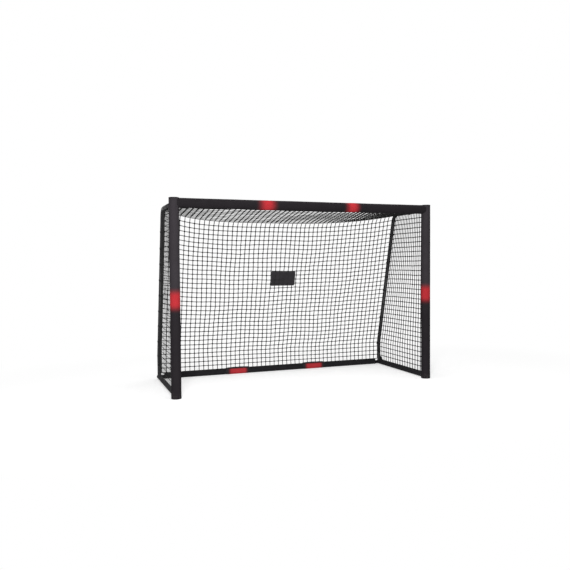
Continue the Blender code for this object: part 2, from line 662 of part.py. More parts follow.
def red_cuff(side, name, mat):
    """A padded cuff round the rear bar at a joint; the goal's rear rests on the two."""
    outline = drop_outline(CUFF_RADIUS, CUFF_RADIUS - CUFF_FLAT, CUFF_FIN_RADIUS, CUFF_HEIGHT)
    outline = [(across, max(up, 0.0)) for across, up in outline]
    place = Vector((side * REAR_BUTTON_X - CUFF_LENGTH / 2, REAR_Y, 0))
    cuff = extruded("red_cuff_" + name, outline, place, Y, X, CUFF_LENGTH, mat)
    hollow = extruded("cuff_hollow_" + name, sleeve_outline(REAR_SLEEVE_HEIGHT, CLEARANCE),
                      place - X * CUFF_RADIUS, Y, X, CUFF_LENGTH + 2 * CUFF_RADIUS)
    combine(cuff, "DIFFERENCE", as_guide(hollow))
    return cuff


def coons(bottom, top, left, right, u, v):
    """A point of the sheet that is stretched between four edge curves."""
    corners = (bottom(0) * (1 - u) * (1 - v) + bottom(1) * u * (1 - v)
               + top(0) * (1 - u) * v + top(1) * u * v)
    return bottom(u) * (1 - v) + top(u) * v + left(v) * (1 - u) + right(v) * u - corners


def line(start, end):
    return lambda t: start + (end - start) * t


def net_panel(name, edges, cells, mat):
    """A flat lattice of cord between four edge curves, one body with open meshes."""
    bm = bmesh.new()
    bmesh.ops.create_grid(bm, x_segments=cells[0], y_segments=cells[1], size=1)
    for vert in bm.verts:
        vert.co = coons(*edges, (vert.co.x + 1) / 2, (vert.co.y + 1) / 2)
    bmesh.ops.recalc_face_normals(bm, faces=bm.faces)
    meshes = list(bm.faces)
    bmesh.ops.inset_individual(bm, faces=meshes, thickness=NET_CORD / 2, use_even_offset=True)
    bmesh.ops.delete(bm, geom=meshes, context="FACES")
    panel = add_object(name, bm, mat, smooth=False)
    wall = panel.modifiers.new("Cord", "SOLIDIFY")
    wall.thickness = NET_CORD
    wall.offset = 0
    wall.use_even_offset = False
    return panel


def frame_line_y(height, inset=0.0):
    """The side frame's line behind the post at a height, moved forward by an inset."""
    roof_r = ROOF_BEND_RADIUS - inset
    foot_r = STAY_BEND_RADIUS - inset
    foot_z = STAY_BEND_HEIGHT - STAY_TANGENT
    if height > ROOF_BEND_Z + roof_r * sin(LEAN):
        return ROOF_BEND_Y + sqrt(roof_r ** 2 - (height - ROOF_BEND_Z) ** 2)
    if height > foot_z + foot_r * sin(LEAN):
        return CORNER_Y + ((CROSSBAR_Z - height) * sin(LEAN) - inset) / cos(LEAN)
    rise = max(0.0, height - foot_z)
    return STAY_FOOT_Y - STAY_BEND_RADIUS + sqrt(foot_r ** 2 - rise ** 2)


def roof_corner(radius):
    """Middle of the roof bend, on an arc of the given radius about the bend's centre."""
    half = ROOF_TURN / 2
    return Vector((0, ROOF_BEND_Y + radius * sin(half), ROOF_BEND_Z + radius * cos(half)))


def fold_line(u, drop=0.0, forward=0.0):
    """The sagging line where the roof net turns down into the back net."""
    corner = roof_corner(ROOF_BEND_RADIUS)
    half_span = POST_X - BACK_R - CLEARANCE
    fullness = SAG_FULLNESS[0] if u < 0.5 else SAG_FULLNESS[1]
    height = corner.z - NET_SAG * (1 - abs(2 * u - 1) ** fullness)
    back = corner.y + (corner.z - height) * tan(LEAN)
    return Vector((half_span * (2 * u - 1), back - forward, height - drop))


def back_edge(side, v):
    """Side edge of the back net, beside the stay and down to the top of the rear sleeve."""
    top = roof_corner(ROOF_BEND_RADIUS).z - FOLD_GAP
    height = NET_BOTTOM + (top - NET_BOTTOM) * v
    half_span = POST_X - BACK_R - CLEARANCE
    return Vector((side * half_span, frame_line_y(height), height))


def back_net(mat):
    edges = (line(back_edge(-1, 0), back_edge(1, 0)), lambda u: fold_line(u, drop=FOLD_GAP),
             lambda v: back_edge(-1, v), lambda v: back_edge(1, v))
    return net_panel("net_back", edges, BACK_CELLS, mat)


def roof_net(mat):
    half_span = POST_X - BACK_R - CLEARANCE
    front_y = PAD_BACK + NET_CORD / 2
    front = [Vector((side * half_span, front_y, CROSSBAR_Z)) for side in (-1, 1)]
    edges = (line(*front), lambda u: fold_line(u, forward=FOLD_GAP),
             line(front[0], fold_line(0, forward=FOLD_GAP)),
             line(front[1], fold_line(1, forward=FOLD_GAP)))
    return net_panel("net_roof", edges, ROOF_CELLS, mat)


def side_net(side, name, mat):
    """In the plane of post and stay, with its top corner cut to the roof bend."""
    reach = BACK_R + SIDE_NET_GAP
    bottom_z = GROUND_AXIS_HEIGHT - BACK_R - SLEEVE_WALL + SIDE_SLEEVE_HEIGHT
    corner = roof_corner(ROOF_BEND_RADIUS - reach)
    top_z = CROSSBAR_Z - reach

    def place(y, z):
        return Vector((side * POST_X, y, z))

    def top(u):
        y = PAD_BACK + (corner.y - PAD_BACK) * u
        rise = max(0.0, y - ROOF_BEND_Y)
        drop = ROOF_BEND_RADIUS - reach - sqrt((ROOF_BEND_RADIUS - reach) ** 2 - rise ** 2)
        return place(y, top_z - drop)

    def rear(v):
        z = bottom_z + (corner.z - bottom_z) * v
        return place(frame_line_y(z, reach), z)

    edges = (line(place(PAD_BACK, bottom_z), rear(0)), top,
             line(place(PAD_BACK, bottom_z), place(PAD_BACK, top_z)), rear)
    return net_panel("net_side_" + name, edges, SIDE_CELLS, mat)


def net_patch(mat):
    """A plain patch sewn to the front of the back net."""
    bm = bmesh.new()
    bmesh.ops.create_cube(bm, size=1.0)
    bmesh.ops.scale(bm, vec=(PATCH_SIZE[0], PATCH_SIZE[1], PATCH_THICKNESS), verts=bm.verts)
    upright = [edge for edge in bm.edges
               if abs(edge.verts[0].co.z - edge.verts[1].co.z) > PATCH_THICKNESS / 2]
    bmesh.ops.bevel(bm, geom=upright, offset=PATCH_CORNER, segments=3, profile=0.5,
                    affect="EDGES", material=-1)
    front = NET_CORD / 2 + CLEARANCE + PATCH_THICKNESS / 2
    middle = Vector((PATCH_SHIFT, frame_line_y(PATCH_HEIGHT), PATCH_HEIGHT)) - STAY_BACK * front
    bm.transform(axes_matrix(middle, -STAY_BACK, X))
    return add_object("net_patch", bm, mat, smooth=False)


def build():
    clear_scene()
    steel = material("black_powder_coat", (0.02, 0.02, 0.022), 0.45, 0.6)
    zinc = material("zinc_button", (0.5, 0.5, 0.52), 0.35, 1.0)
    foam = material("grey_foam", (0.12, 0.12, 0.125), 0.95)
    cover = material("black_cover", (0.028, 0.024, 0.027), 0.75)
    sleeve = material("black_sleeve", (0.02, 0.02, 0.022), 0.85)
    cuff = material("red_cuff", (0.6, 0.03, 0.05), 0.75)
    plastic = material("black_plastic", (0.02, 0.02, 0.02), 0.5)
    cord = material("net_cord", (0.03, 0.03, 0.035), 0.8)
    label = material("patch_textile", (0.02, 0.02, 0.022), 0.8)

    pieces = list(crossbar_tubes(steel)) + list(rear_tubes(steel))
    for side, name in ((-1, "left"), (1, "right")):
        pieces += post_tubes(side, name, steel)
        pieces += [roof_tube(side, name, steel), stay_tube(side, name, steel),
                   side_ground_tube(side, name, steel)]
        post_foot(side, name, plastic)
        end_cap(side, name, plastic)
        post_padding(side, name, foam, cover)
        pieces.append(red_cuff(side, name, cuff))
        side_net(side, name, cord)
    pieces += ground_sleeves(sleeve).values()
    crossbar_padding(foam, cover)
    back_net(cord)
    roof_net(cord)
    net_patch(label)
    all_buttons({piece.name: piece for piece in pieces}, zinc)


build()
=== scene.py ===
import json
from bisect import bisect_right
from math import acos, atan2, cos, pi, radians, sin, sqrt, tan

import bmesh
import bpy
from mathutils import Matrix, Vector, noise
from mathutils.bvhtree import BVHTree


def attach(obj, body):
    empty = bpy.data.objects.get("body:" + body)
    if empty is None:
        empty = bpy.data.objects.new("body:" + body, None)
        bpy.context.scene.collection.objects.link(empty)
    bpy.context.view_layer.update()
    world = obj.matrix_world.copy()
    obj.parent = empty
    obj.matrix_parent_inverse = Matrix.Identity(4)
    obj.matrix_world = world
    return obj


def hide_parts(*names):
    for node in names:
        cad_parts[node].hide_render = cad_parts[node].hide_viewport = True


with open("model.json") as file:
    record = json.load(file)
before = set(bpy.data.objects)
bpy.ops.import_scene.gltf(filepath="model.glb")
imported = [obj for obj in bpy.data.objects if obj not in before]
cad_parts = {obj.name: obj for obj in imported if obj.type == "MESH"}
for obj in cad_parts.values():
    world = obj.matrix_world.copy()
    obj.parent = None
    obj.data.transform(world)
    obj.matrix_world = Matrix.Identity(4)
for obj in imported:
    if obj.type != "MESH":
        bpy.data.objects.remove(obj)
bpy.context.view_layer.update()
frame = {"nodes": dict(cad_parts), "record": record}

# Sizes of the frame, in metres, as the solids have them
POST_X = 1.16
POST_Y = -0.43525
CROSSBAR_Z = 1.56
STAY_FOOT_Y = 0.45245
BAR_END_Y = 0.47395
BACK_END_Y = 0.47725
GROUND_Z = 0.0216
CORNER_Y = 0.12775
PAD_R = 0.040
BACK_R = 0.017
FRAME_R = 0.019
TUBE_WALL = 0.0012
SPIGOT_R = 0.0154
NECK = 0.004
JOINT = 0.0003
SPIGOT_RUN = 0.065
BUTTON_REACH = 0.035
BUTTON_R = 0.0042
BUTTON_HOLE_R = 0.0046
BUTTON_OUT = 0.003
REAR_END_REACH = 0.020
BUTTON_X = 0.40
POST_BUTTON_Z = 0.765
BAR_SPLIT_X = 0.365
POST_SPLIT_Z = 0.73
ROOF_LEG = 0.10
UPRIGHT_TOP = 0.12
STAY_BEND_Z = 0.24
STAY_BEND_R = 0.10
ROOF_BEND_R = 0.080
FOAM_R = 0.0388
FOOT_TOP = 0.0046
CUFF_LENGTH = 0.25
CUFF_X = 0.40
CUFF_TOP = 0.072
SLEEVE_TOP_REAR = 0.0583
SLEEVE_TOP_SIDE = 0.0523

# Studio
SKY_FILL = 0.24
FLOOR_GLOW = 0.46

# Red cloth, between a darker and a lighter tone
RED_TONES = ((0.36, 0.022, 0.028), (0.48, 0.034, 0.042))

# Net
MESH = 0.045
CORD_R = 0.0036
KNOT_R = 0.0078
EDGE_CORD_R = 0.0027
SAG = 0.089
SAG_FULLNESS = (4.4, 2.3)

# Padding
COVER_WALL = 0.0008
FLAP = 0.022
COVER_TURN = 2 * pi + FLAP / PAD_R
COVER_TOP = 1.597
HEM = 0.012

X = Vector((1, 0, 0))
Y = Vector((0, 1, 0))
Z = Vector((0, 0, 1))

LEAN = atan2(STAY_FOOT_Y - CORNER_Y, CROSSBAR_Z - STAY_BEND_Z)
STAY_TANGENT = STAY_BEND_R * tan(LEAN / 2)
STAY_UP = Vector((0, -sin(LEAN), cos(LEAN)))
STAY_BACK = Vector((0, cos(LEAN), sin(LEAN)))
ROOF_TURN = pi / 2 - LEAN
BEND_Y = CORNER_Y - ROOF_BEND_R * (1 - sin(LEAN)) / cos(LEAN)
BEND_Z = CROSSBAR_Z - ROOF_BEND_R
SIDES = ((-1, "left"), (1, "right"))


# Camera, lights and floor
def set_camera():
    data = bpy.data.cameras.new("camera")
    data.sensor_width = 36.0
    data.lens = 38.56
    data.clip_end = 200
    camera = bpy.data.objects.new("camera", data)
    bpy.context.collection.objects.link(camera)
    yaw, pitch, roll = radians(20.21), radians(1.965), radians(-0.424)
    ahead = Vector((sin(yaw) * cos(pitch), cos(yaw) * cos(pitch), -sin(pitch)))
    level = Vector((cos(yaw), -sin(yaw), 0))
    above = level.cross(ahead)
    right = cos(roll) * level + sin(roll) * above
    up = -sin(roll) * level + cos(roll) * above
    turn = Matrix((right, up, -ahead)).transposed().to_4x4()
    camera.matrix_world = Matrix.Translation((-2.0138, -5.287, 1.0685)) @ turn
    bpy.context.scene.camera = camera


def area_light(name, place, target, size, power):
    data = bpy.data.lights.new(name, "AREA")
    data.shape = "RECTANGLE"
    data.size, data.size_y = size
    data.energy = power
    lamp = bpy.data.objects.new(name, data)
    bpy.context.collection.objects.link(lamp)
    lamp.location = place
    lamp.rotation_euler = (Vector(target) - Vector(place)).to_track_quat("-Z", "Y").to_euler()


def seen_directly(tree):
    """1 for rays from the camera, a reflection or a transmission."""
    rays = tree.node("LightPath").outputs
    first = tree.math("MAXIMUM", rays["Is Camera Ray"], rays["Is Glossy Ray"])
    return tree.math("MAXIMUM", first, rays["Is Transmission Ray"])


def set_studio():
    scene = bpy.context.scene
    scene.view_settings.view_transform = "Standard"
    scene.world = bpy.data.worlds.new("studio")
    tree = Nodes(scene.world, empty=True)
    soft, white = [tree.node("Background", {"Color": (1, 1, 1, 1), "Strength": strength})
                   for strength in (SKY_FILL, 1.0)]
    sky = tree.mixed(seen_directly(tree), soft.outputs[0], white.outputs[0])
    tree.node("OutputWorld", {0: sky})
    area_light("front_softbox", (-2.3, -5.4, 2.0), (0, 0, 0.9), (1.3, 1.1), 255)
    area_light("overhead_softbox", (0.3, -0.4, 4.2), (0, 0, 0.4), (3.5, 3.5), 80)
    studio_floor()


def studio_floor():
    """A pale floor that takes the goal's shadow and turns white further out."""
    bm = bmesh.new()
    bmesh.ops.create_grid(bm, x_segments=1, y_segments=1, size=30)
    floor = bpy.data.objects.new("floor", as_mesh(bm, "floor"))
    bpy.context.collection.objects.link(floor)
    mat = bpy.data.materials.new("pale_floor")
    tree = Nodes(mat, empty=True)
    paint = tree.node("BsdfDiffuse", {"Color": (0.86, 0.86, 0.86, 1)}).outputs[0]
    glow, far = [tree.node("Emission", {"Strength": strength}).outputs[0]
                 for strength in (FLOOR_GLOW, 1.0)]
    near = tree.node("AddShader", {0: paint, 1: glow}).outputs[0]
    spread = tree.place(scale=(0.62, 1.0, 1.0))
    reach = tree.node("VectorMath", {0: spread}, operation="LENGTH").outputs["Value"]
    seen = tree.mixed(tree.span(reach, 0.8, 2.4, smooth=True), near, far)
    tree.node("OutputMaterial", {0: tree.mixed(seen_directly(tree), paint, seen)})
    floor.data.materials.append(mat)


# Materials
class Nodes:
    """A node tree under construction: nodes are added by kind and wired by input."""

    def __init__(self, holder, empty=False):
        holder.use_nodes = True
        self.tree = holder.node_tree
        if empty:
            self.tree.nodes.clear()

    def node(self, kind, inputs=None, **settings):
        made = self.tree.nodes.new("ShaderNode" + kind)
        for name, value in settings.items():
            setattr(made, name, value)
        for name, value in (inputs or {}).items():
            if isinstance(value, bpy.types.NodeSocket):
                self.tree.links.new(value, made.inputs[name])
            else:
                made.inputs[name].default_value = value
        return made

    def place(self, scale=(1, 1, 1), turn=(0, 0, 0), uv=False):
        source = self.node("TexCoord").outputs["UV" if uv else "Object"]
        return self.node("Mapping", {"Vector": source, "Scale": scale,
                                     "Rotation": turn}).outputs[0]

    def span(self, value, low, high, to_low=0.0, to_high=1.0, smooth=False):
        return self.node("MapRange", {"Value": value, "From Min": low, "From Max": high,
                                      "To Min": to_low, "To Max": to_high},
                         interpolation_type="SMOOTHSTEP" if smooth else "LINEAR").outputs[0]

    def math(self, operation, a, b=0.0):
        return self.node("Math", {0: a, 1: b}, operation=operation).outputs[0]

    def mixed(self, factor, a, b):
        return self.node("MixShader", {0: factor, 1: a, 2: b}).outputs[0]


class Recipe(Nodes):
    """A material under construction.

    Its tone drifts from low to high over a cloud of noise given as (scale, detail), or
    is wired later. Rough is one value, or a cloud with the smoothest and the roughest.
    """

    def __init__(self, name, low, high, cloud, rough, specular=0.5, metallic=0.0):
        self.mat = bpy.data.materials.new(name)
        super().__init__(self.mat)
        self.shader = self.tree.nodes["Principled BSDF"].inputs
        self.shader["Base Color"].default_value = (*high, 1)
        self.shader["Metallic"].default_value = metallic
        self.shader["Specular IOR Level"].default_value = specular
        if cloud:
            self.wire(self.blend(self.noise(*cloud), low, high), "Base Color")
        if isinstance(rough, tuple):
            uneven = self.span(self.noise(*rough[:2]), 0.3, 0.7, *rough[2:])
            self.wire(uneven, "Roughness")
        else:
            self.shader["Roughness"].default_value = rough

    def wire(self, source, name):
        self.tree.links.new(source, self.shader[name])

    def noise(self, scale, detail=3.0, rough=0.5, vector=None):
        return self.node("TexNoise", {"Vector": vector or self.place(), "Scale": scale,
                                      "Detail": detail, "Roughness": rough}).outputs["Fac"]

    def away(self, value, centre):
        return self.math("ABSOLUTE", self.math("SUBTRACT", value, centre))

    def blend(self, factor, a, b):
        """Two colours mixed by a socket."""
        tones = [tone if isinstance(tone, bpy.types.NodeSocket) else (*tone, 1)
                 for tone in (a, b)]
        return self.node("Mix", {0: factor, 6: tones[0], 7: tones[1]},
                         data_type="RGBA").outputs[2]

    def weave(self, pitch):
        """Height of a plain weave: two crossed sets of rounded threads."""
        parts = self.node("SeparateXYZ", {0: self.place(uv=True)})
        waves = [self.math("SINE", self.math("MULTIPLY", parts.outputs[i], 2 * pi / pitch))
                 for i in (0, 1)]
        return self.math("MULTIPLY", *waves)

    def red_in(self, mask, black, noise_scale):
        """Red cloth where the mask is 1."""
        red = self.blend(self.noise(noise_scale, 4), *RED_TONES)
        return self.blend(mask, black, red)

    def relief(self, *layers):
        """Bumps, each a height, its distance and its strength, with the coarsest first."""
        normal = None
        for height, distance, strength in layers:
            inputs = {"Height": height, "Distance": distance, "Strength": strength}
            if normal:
                inputs["Normal"] = normal
            normal = self.node("Bump", inputs).outputs[0]
        self.wire(normal, "Normal")
        return self.mat


def powder_coat():
    made = Recipe("black_powder_coat", (0.009, 0.009, 0.010), (0.015, 0.014, 0.016), (6, 4),
                  (6, 4, 0.38, 0.52), 0.25)
    return made.relief((made.noise(900, 2), 0.00012, 0.6))


def zinc():
    made = Recipe("zinc_button", (0.42, 0.42, 0.44), (0.58, 0.58, 0.60), (240, 3),
                  (1500, 3, 0.25, 0.42), metallic=1.0)
    return made.relief((made.noise(1500, 3), 0.00005, 0.5))


def black_plastic():
    clean, scuffed = (0.012, 0.012, 0.013), (0.030, 0.029, 0.029)
    made = Recipe("black_plastic", clean, scuffed, None, (12, 3, 0.44, 0.62), 0.3)
    scuffs = made.noise(40, 5, 0.7, made.place(scale=(1, 1, 0.4)))
    made.wire(made.blend(made.span(scuffs, 0.55, 0.75), clean, scuffed), "Base Color")
    return made.relief((made.noise(700, 4), 0.0001, 0.5))


def foam():
    made = Recipe("grey_foam", (0.045, 0.045, 0.047), (0.075, 0.075, 0.08), (14, 3), 0.95, 0.2)
    cells = made.node("TexVoronoi", {"Vector": made.place(), "Scale": 700.0})
    return made.relief((cells.outputs["Distance"], 0.0004, 0.8))


def pad_cover(name, axis, bands, tone):
    """Coated textile, with soft red bands round the pad: centre, full and faded half width."""
    low, high = [[tone * part for part in parts]
                 for parts in ((0.80, 0.70, 0.80), (1.20, 1.06, 1.20))]
    made = Recipe(name, low, high, None, (25, 3, 0.62, 0.78), 0.02)
    parts = made.node("SeparateXYZ", {0: made.place()}).outputs
    mask = 0.0
    for centre, full, faded in bands:
        band = made.span(made.away(parts[axis], centre), full, faded, 1.0, 0.0, smooth=True)
        mask = made.math("MAXIMUM", mask, band)
    black = made.blend(made.noise(9, 4), low, high)
    # Painted shade: the post's cover is painted darker below about 0.8 m, standing for the shade
    # on the lower posts
    darker = made.span(parts[2], 0.72, 0.86, 0.55, 0.0, smooth=True)
    black = made.blend(darker, black, (0.006, 0.005, 0.006))
    base = made.red_in(made.math("POWER", mask, 1.8), black, 9)
    dust = made.math("MULTIPLY", made.span(parts[2], 0.0, 0.09, 0.35, 0.0, smooth=True),
                     made.span(made.noise(60, 4), 0.45, 0.7))
    made.wire(made.blend(dust, base, (0.12, 0.11, 0.10)), "Base Color")
    creases = made.noise(30, 3, vector=made.place(
        scale=(1, 1, 0.35) if axis == 2 else (0.35, 1, 1)))
    return made.relief((creases, 0.0012, 0.35), (made.weave(0.0009), 0.00012, 0.5))


def sleeve_cloth():
    made = Recipe("black_sleeve", (0.007, 0.007, 0.008), (0.017, 0.016, 0.018), (12, 4),
                  (30, 2, 0.72, 0.88), 0.12)
    return made.relief((made.noise(38, 4), 0.0016, 0.5), (made.weave(0.0012), 0.0002, 0.6))


def cuff_cloth():
    """Red in the middle of each cuff, fading to black towards its ends and its ridge."""
    low, high = (0.010, 0.009, 0.010), (0.018, 0.016, 0.018)
    made = Recipe("red_cuff", low, high, None, (30, 2, 0.6, 0.8), 0.15)
    parts = made.node("SeparateXYZ", {0: made.place()}).outputs
    ends = made.away(made.math("ABSOLUTE", parts[0]), CUFF_X)
    along = made.span(ends, 0.064, 0.110, 1.0, 0.0, smooth=True)
    ridge = made.span(parts[2], 0.048, 0.064, 1.0, 0.0, smooth=True)
    mask = made.math("POWER", made.math("MULTIPLY", along, ridge), 1.8)
    made.wire(made.red_in(mask, made.blend(made.noise(14, 4), low, high), 14), "Base Color")
    fine = made.node("TexVoronoi", {"Vector": made.place(scale=(1, 1.6, 1)), "Scale": 900.0})
    return made.relief((made.noise(45, 3), 0.0012, 0.5), (fine.outputs["Distance"], 0.0002, 0.5))


def cord_yarn(name, tone):
    """Braided cord: fine slanted strands round it, uneven in tone."""
    made = Recipe(name, (tone * 0.7,) * 3, (tone * 1.4,) * 3, (60, 3), 0.8, 0.12)
    strands = made.node("TexWave", {"Vector": made.place(turn=(0.6, 0.5, 0.7)), "Scale": 300.0,
                                    "Distortion": 2.0, "Detail": 1.0})
    return made.relief((strands.outputs["Fac"], 0.0003, 0.6))


def webbing():
    made = Recipe("black_webbing", (0.010, 0.010, 0.011), (0.020, 0.020, 0.021), (40, 3), 0.8,
                  0.15)
    ribs = made.node("TexWave", {"Vector": made.place(), "Scale": 400.0},
                     bands_direction="DIAGONAL")
    return made.relief((ribs.outputs["Fac"], 0.0003, 0.6))


def patch_cloth():
    made = Recipe("patch_textile", (0.012, 0.011, 0.013), (0.024, 0.022, 0.025), (18, 4),
                  (30, 2, 0.5, 0.68), 0.2)
    return made.relief((made.noise(26, 3), 0.0010, 0.4), (made.weave(0.0011), 0.0002, 0.6))


def sewing_thread(name, tone):
    made = Recipe(name, (tone * 0.7,) * 3, (tone * 1.2,) * 3, (300, 2), 0.6, 0.3)
    return made.relief((made.noise(2500, 1), 0.0001, 0.8))


# Making pieces
def piece(name, shape, mat, replaced=(), body="frame", smooth=45):
    """An object at the origin that rides on a body and stands for some CAD nodes."""
    mesh = as_mesh(shape, name) if isinstance(shape, bmesh.types.BMesh) else shape
    obj = bpy.data.objects.new(name, mesh)
    bpy.context.collection.objects.link(obj)
    mesh.materials.append(mat)
    mesh.shade_smooth()
    if smooth < 180:
        mesh.set_sharp_from_angle(angle=radians(smooth))
    if replaced:
        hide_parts(*replaced)
    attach(obj, body)
    return obj


def as_mesh(bm, name):
    mesh = bpy.data.meshes.new(name)
    bm.to_mesh(mesh)
    bm.free()
    return mesh


def face_out(bm):
    bmesh.ops.recalc_face_normals(bm, faces=bm.faces)
    return bm


def add_wall(obj, thickness, offset=-1.0):
    wall = obj.modifiers.new("Wall", "SOLIDIFY")
    wall.thickness = thickness
    wall.offset = offset
    return obj


def round_edges(obj, width, segments=2, angle=40):
    edge = obj.modifiers.new("Edges", "BEVEL")
    edge.width = width
    edge.segments = segments
    edge.limit_method = "ANGLE"
    edge.angle_limit = radians(angle)
    return obj


def settle(obj):
    """Keep what the modifiers make as the piece's own mesh."""
    seen = obj.evaluated_get(bpy.context.evaluated_depsgraph_get())
    mesh = bpy.data.meshes.new_from_object(seen)
    old = obj.data
    obj.modifiers.clear()
    obj.data = mesh
    bpy.data.meshes.remove(old)
    return obj


def guide(bm):
    """A closed shape that is joined to a piece or cut out of it, then thrown away."""
    face_out(bm)
    obj = bpy.data.objects.new("guide", as_mesh(bm, "guide"))
    bpy.context.collection.objects.link(obj)
    return obj


def combine(obj, shapes, operation="DIFFERENCE"):
    for shape in shapes:
        step = obj.modifiers.new("Combine", "BOOLEAN")
        step.operation = operation
        step.object = shape
        step.solver = "EXACT"
    settle(obj)
    for shape in shapes:
        bpy.data.objects.remove(shape, do_unlink=True)
    return obj


def curve_mesh(name, lines, radius, sides=6):
    """Round cord along each list of points, as one mesh with closed ends."""
    data = bpy.data.curves.new(name, "CURVE")
    data.dimensions = "3D"
    data.bevel_depth = radius
    data.bevel_resolution = max(0, sides // 2 - 2)
    data.use_fill_caps = True
    for points in lines:
        spline = data.splines.new("POLY")
        spline.points.add(len(points) - 1)
        for point, co in zip(spline.points, points):
            point.co = (*co, 1)
    holder = bpy.data.objects.new(name, data)
    bpy.context.collection.objects.link(holder)
    seen = holder.evaluated_get(bpy.context.evaluated_depsgraph_get())
    mesh = bpy.data.meshes.new_from_object(seen)
    bpy.data.objects.remove(holder)
    bpy.data.curves.remove(data)
    mesh.materials.clear()
    bm = bmesh.new()
    bm.from_mesh(mesh)
    rims = [vert for vert in bm.verts if vert.is_boundary]
    bmesh.ops.remove_doubles(bm, verts=rims, dist=1e-6)
    bm.to_mesh(mesh)
    bm.free()
    return mesh


def axes_matrix(origin, heading, across):
    """Local Z along heading and local X along across, placed at origin."""
    z_axis = heading.normalized()
    y_axis = z_axis.cross(across).normalized()
    x_axis = y_axis.cross(z_axis)
    turn = Matrix((x_axis, y_axis, z_axis)).transposed().to_4x4()
    return Matrix.Translation(origin) @ turn


def ring(bm, origin, heading, across, radius, sides):
    made = bmesh.ops.create_circle(bm, cap_ends=False, radius=radius, segments=sides,
                                   matrix=axes_matrix(origin, heading, across))
    verts = made["verts"]
    return [edge for edge in bm.edges if edge.verts[0] in verts and edge.verts[1] in verts]


def carry(bm, edges, step, factor=1.0):
    """Extrude a ring of edges by a step and scale the new ring about its centre."""
    made = bmesh.ops.extrude_edge_only(bm, edges=edges)["geom"]
    fresh = [item for item in made if isinstance(item, bmesh.types.BMEdge)]
    verts = [item for item in made if isinstance(item, bmesh.types.BMVert)]
    ends = [edge for edge in fresh if edge.verts[0] in verts and edge.verts[1] in verts]
    bmesh.ops.translate(bm, vec=step, verts=verts)
    if factor != 1.0:
        centre = sum((vert.co for vert in verts), Vector()) / len(verts)
        bmesh.ops.scale(bm, vec=(factor, factor, factor), verts=verts,
                        space=Matrix.Translation(-centre))
    return ends


def pipe_skin(bm, origin, heading, across, radius, path, sides, closed=False):
    """Carry a ring along ("run", length), ("neck", length, radius) and
    ("bend", radius, angle, axis, facets) steps."""
    place = Vector(origin)
    heading = Vector(heading)
    first = ring(bm, place, heading, across, radius, sides)
    last = first
    for step in path:
        if step[0] == "run":
            last = carry(bm, last, heading * step[1])
            place = place + heading * step[1]
        elif step[0] == "neck":
            last = carry(bm, last, heading * step[1], step[2] / radius)
            place = place + heading * step[1]
            radius = step[2]
        else:
            bend_radius, angle, axis, facets = step[1:]
            centre = place + axis.cross(heading) * bend_radius
            made = bmesh.ops.spin(bm, geom=last, cent=centre, axis=axis, dvec=(0, 0, 0),
                                  angle=angle, steps=facets, use_duplicate=False)
            last = [item for item in made["geom_last"] if isinstance(item, bmesh.types.BMEdge)]
            turn = Matrix.Rotation(angle, 3, axis)
            place = centre + turn @ (place - centre)
            heading = turn @ heading
    if closed:
        for edges in (first, last):
            bmesh.ops.contextual_create(bm, geom=edges)
    return bm


def rod(origin, heading, across, radius, path, sides=48):
    """A closed bar along a path, or a straight one of a given length."""
    if not isinstance(path, list):
        path = [("run", path)]
    return pipe_skin(bmesh.new(), origin, heading, across, radius, path, sides, True)


def turned(bm, base, heading, across, profile, sides=64):
    """A closed shape turned about an axis, from (radius, distance along) points."""
    radius, along = profile[0]
    last = ring(bm, base + heading * along, heading, across, radius, sides)
    first = last
    for next_radius, next_along in profile[1:]:
        last = carry(bm, last, heading * (next_along - along), next_radius / radius)
        radius, along = next_radius, next_along
    for edges in (first, last):
        bmesh.ops.contextual_create(bm, geom=edges)
    face_out(bm)
    return bm


def cloth_grid(place, cells, size):
    """A grid of cloth laid by place(u, v), with its UV map in metres on the flat cloth."""
    bm = bmesh.new()
    uv = bm.loops.layers.uv.new("cloth")
    bmesh.ops.create_grid(bm, x_segments=cells[0], y_segments=cells[1], size=1)
    for face in bm.faces:
        for loop in face.loops:
            loop[uv].uv = ((loop.vert.co.x + 1) / 2 * size[0],
                           (loop.vert.co.y + 1) / 2 * size[1])
    for vert in bm.verts:
        vert.co = place((vert.co.x + 1) / 2, (vert.co.y + 1) / 2)
    return bm


def flat_uv(bm, across, up):
    """A UV map in metres, straight down on the cloth."""
    uv = bm.loops.layers.uv.verify()
    for face in bm.faces:
        for loop in face.loops:
            loop[uv].uv = (loop.vert.co.dot(across), loop.vert.co.dot(up))


def paced(points):
    """A route from 0 to 1 along points at an even pace, and its length."""
    lengths = [0.0]
    for a, b in zip(points, points[1:]):
        lengths.append(lengths[-1] + (b - a).length)

    def route(t):
        target = lengths[-1] * min(1.0, t)
        k = min(len(points) - 2, bisect_right(lengths, target) - 1)
        part = (target - lengths[k]) / max(1e-9, lengths[k + 1] - lengths[k])
        return points[k].lerp(points[k + 1], min(1.0, part))

    return route, lengths[-1]


def smooth_step(value):
    value = min(1.0, max(0.0, value))
    return value * value * (3 - 2 * value)


def wrinkle(point, wave, seed):
    """Uneven creases, from -1 to 1, about a wave long each way."""
    where = Vector((point.x / wave[0], point.y / wave[1], point.z / wave[2]))
    return noise.noise(where + Vector((seed * 7.3, 0, 0)))


def add_copies(bm, shape, places):
    """Add a small shape to a bmesh once for each place, then throw the shape away."""
    shape = as_mesh(shape, "shape")
    corners = [vert.co.copy() for vert in shape.vertices]
    for place in places:
        for vert, corner in zip(shape.vertices, corners):
            vert.co = place @ corner
        bm.from_mesh(shape)
    bpy.data.meshes.remove(shape)


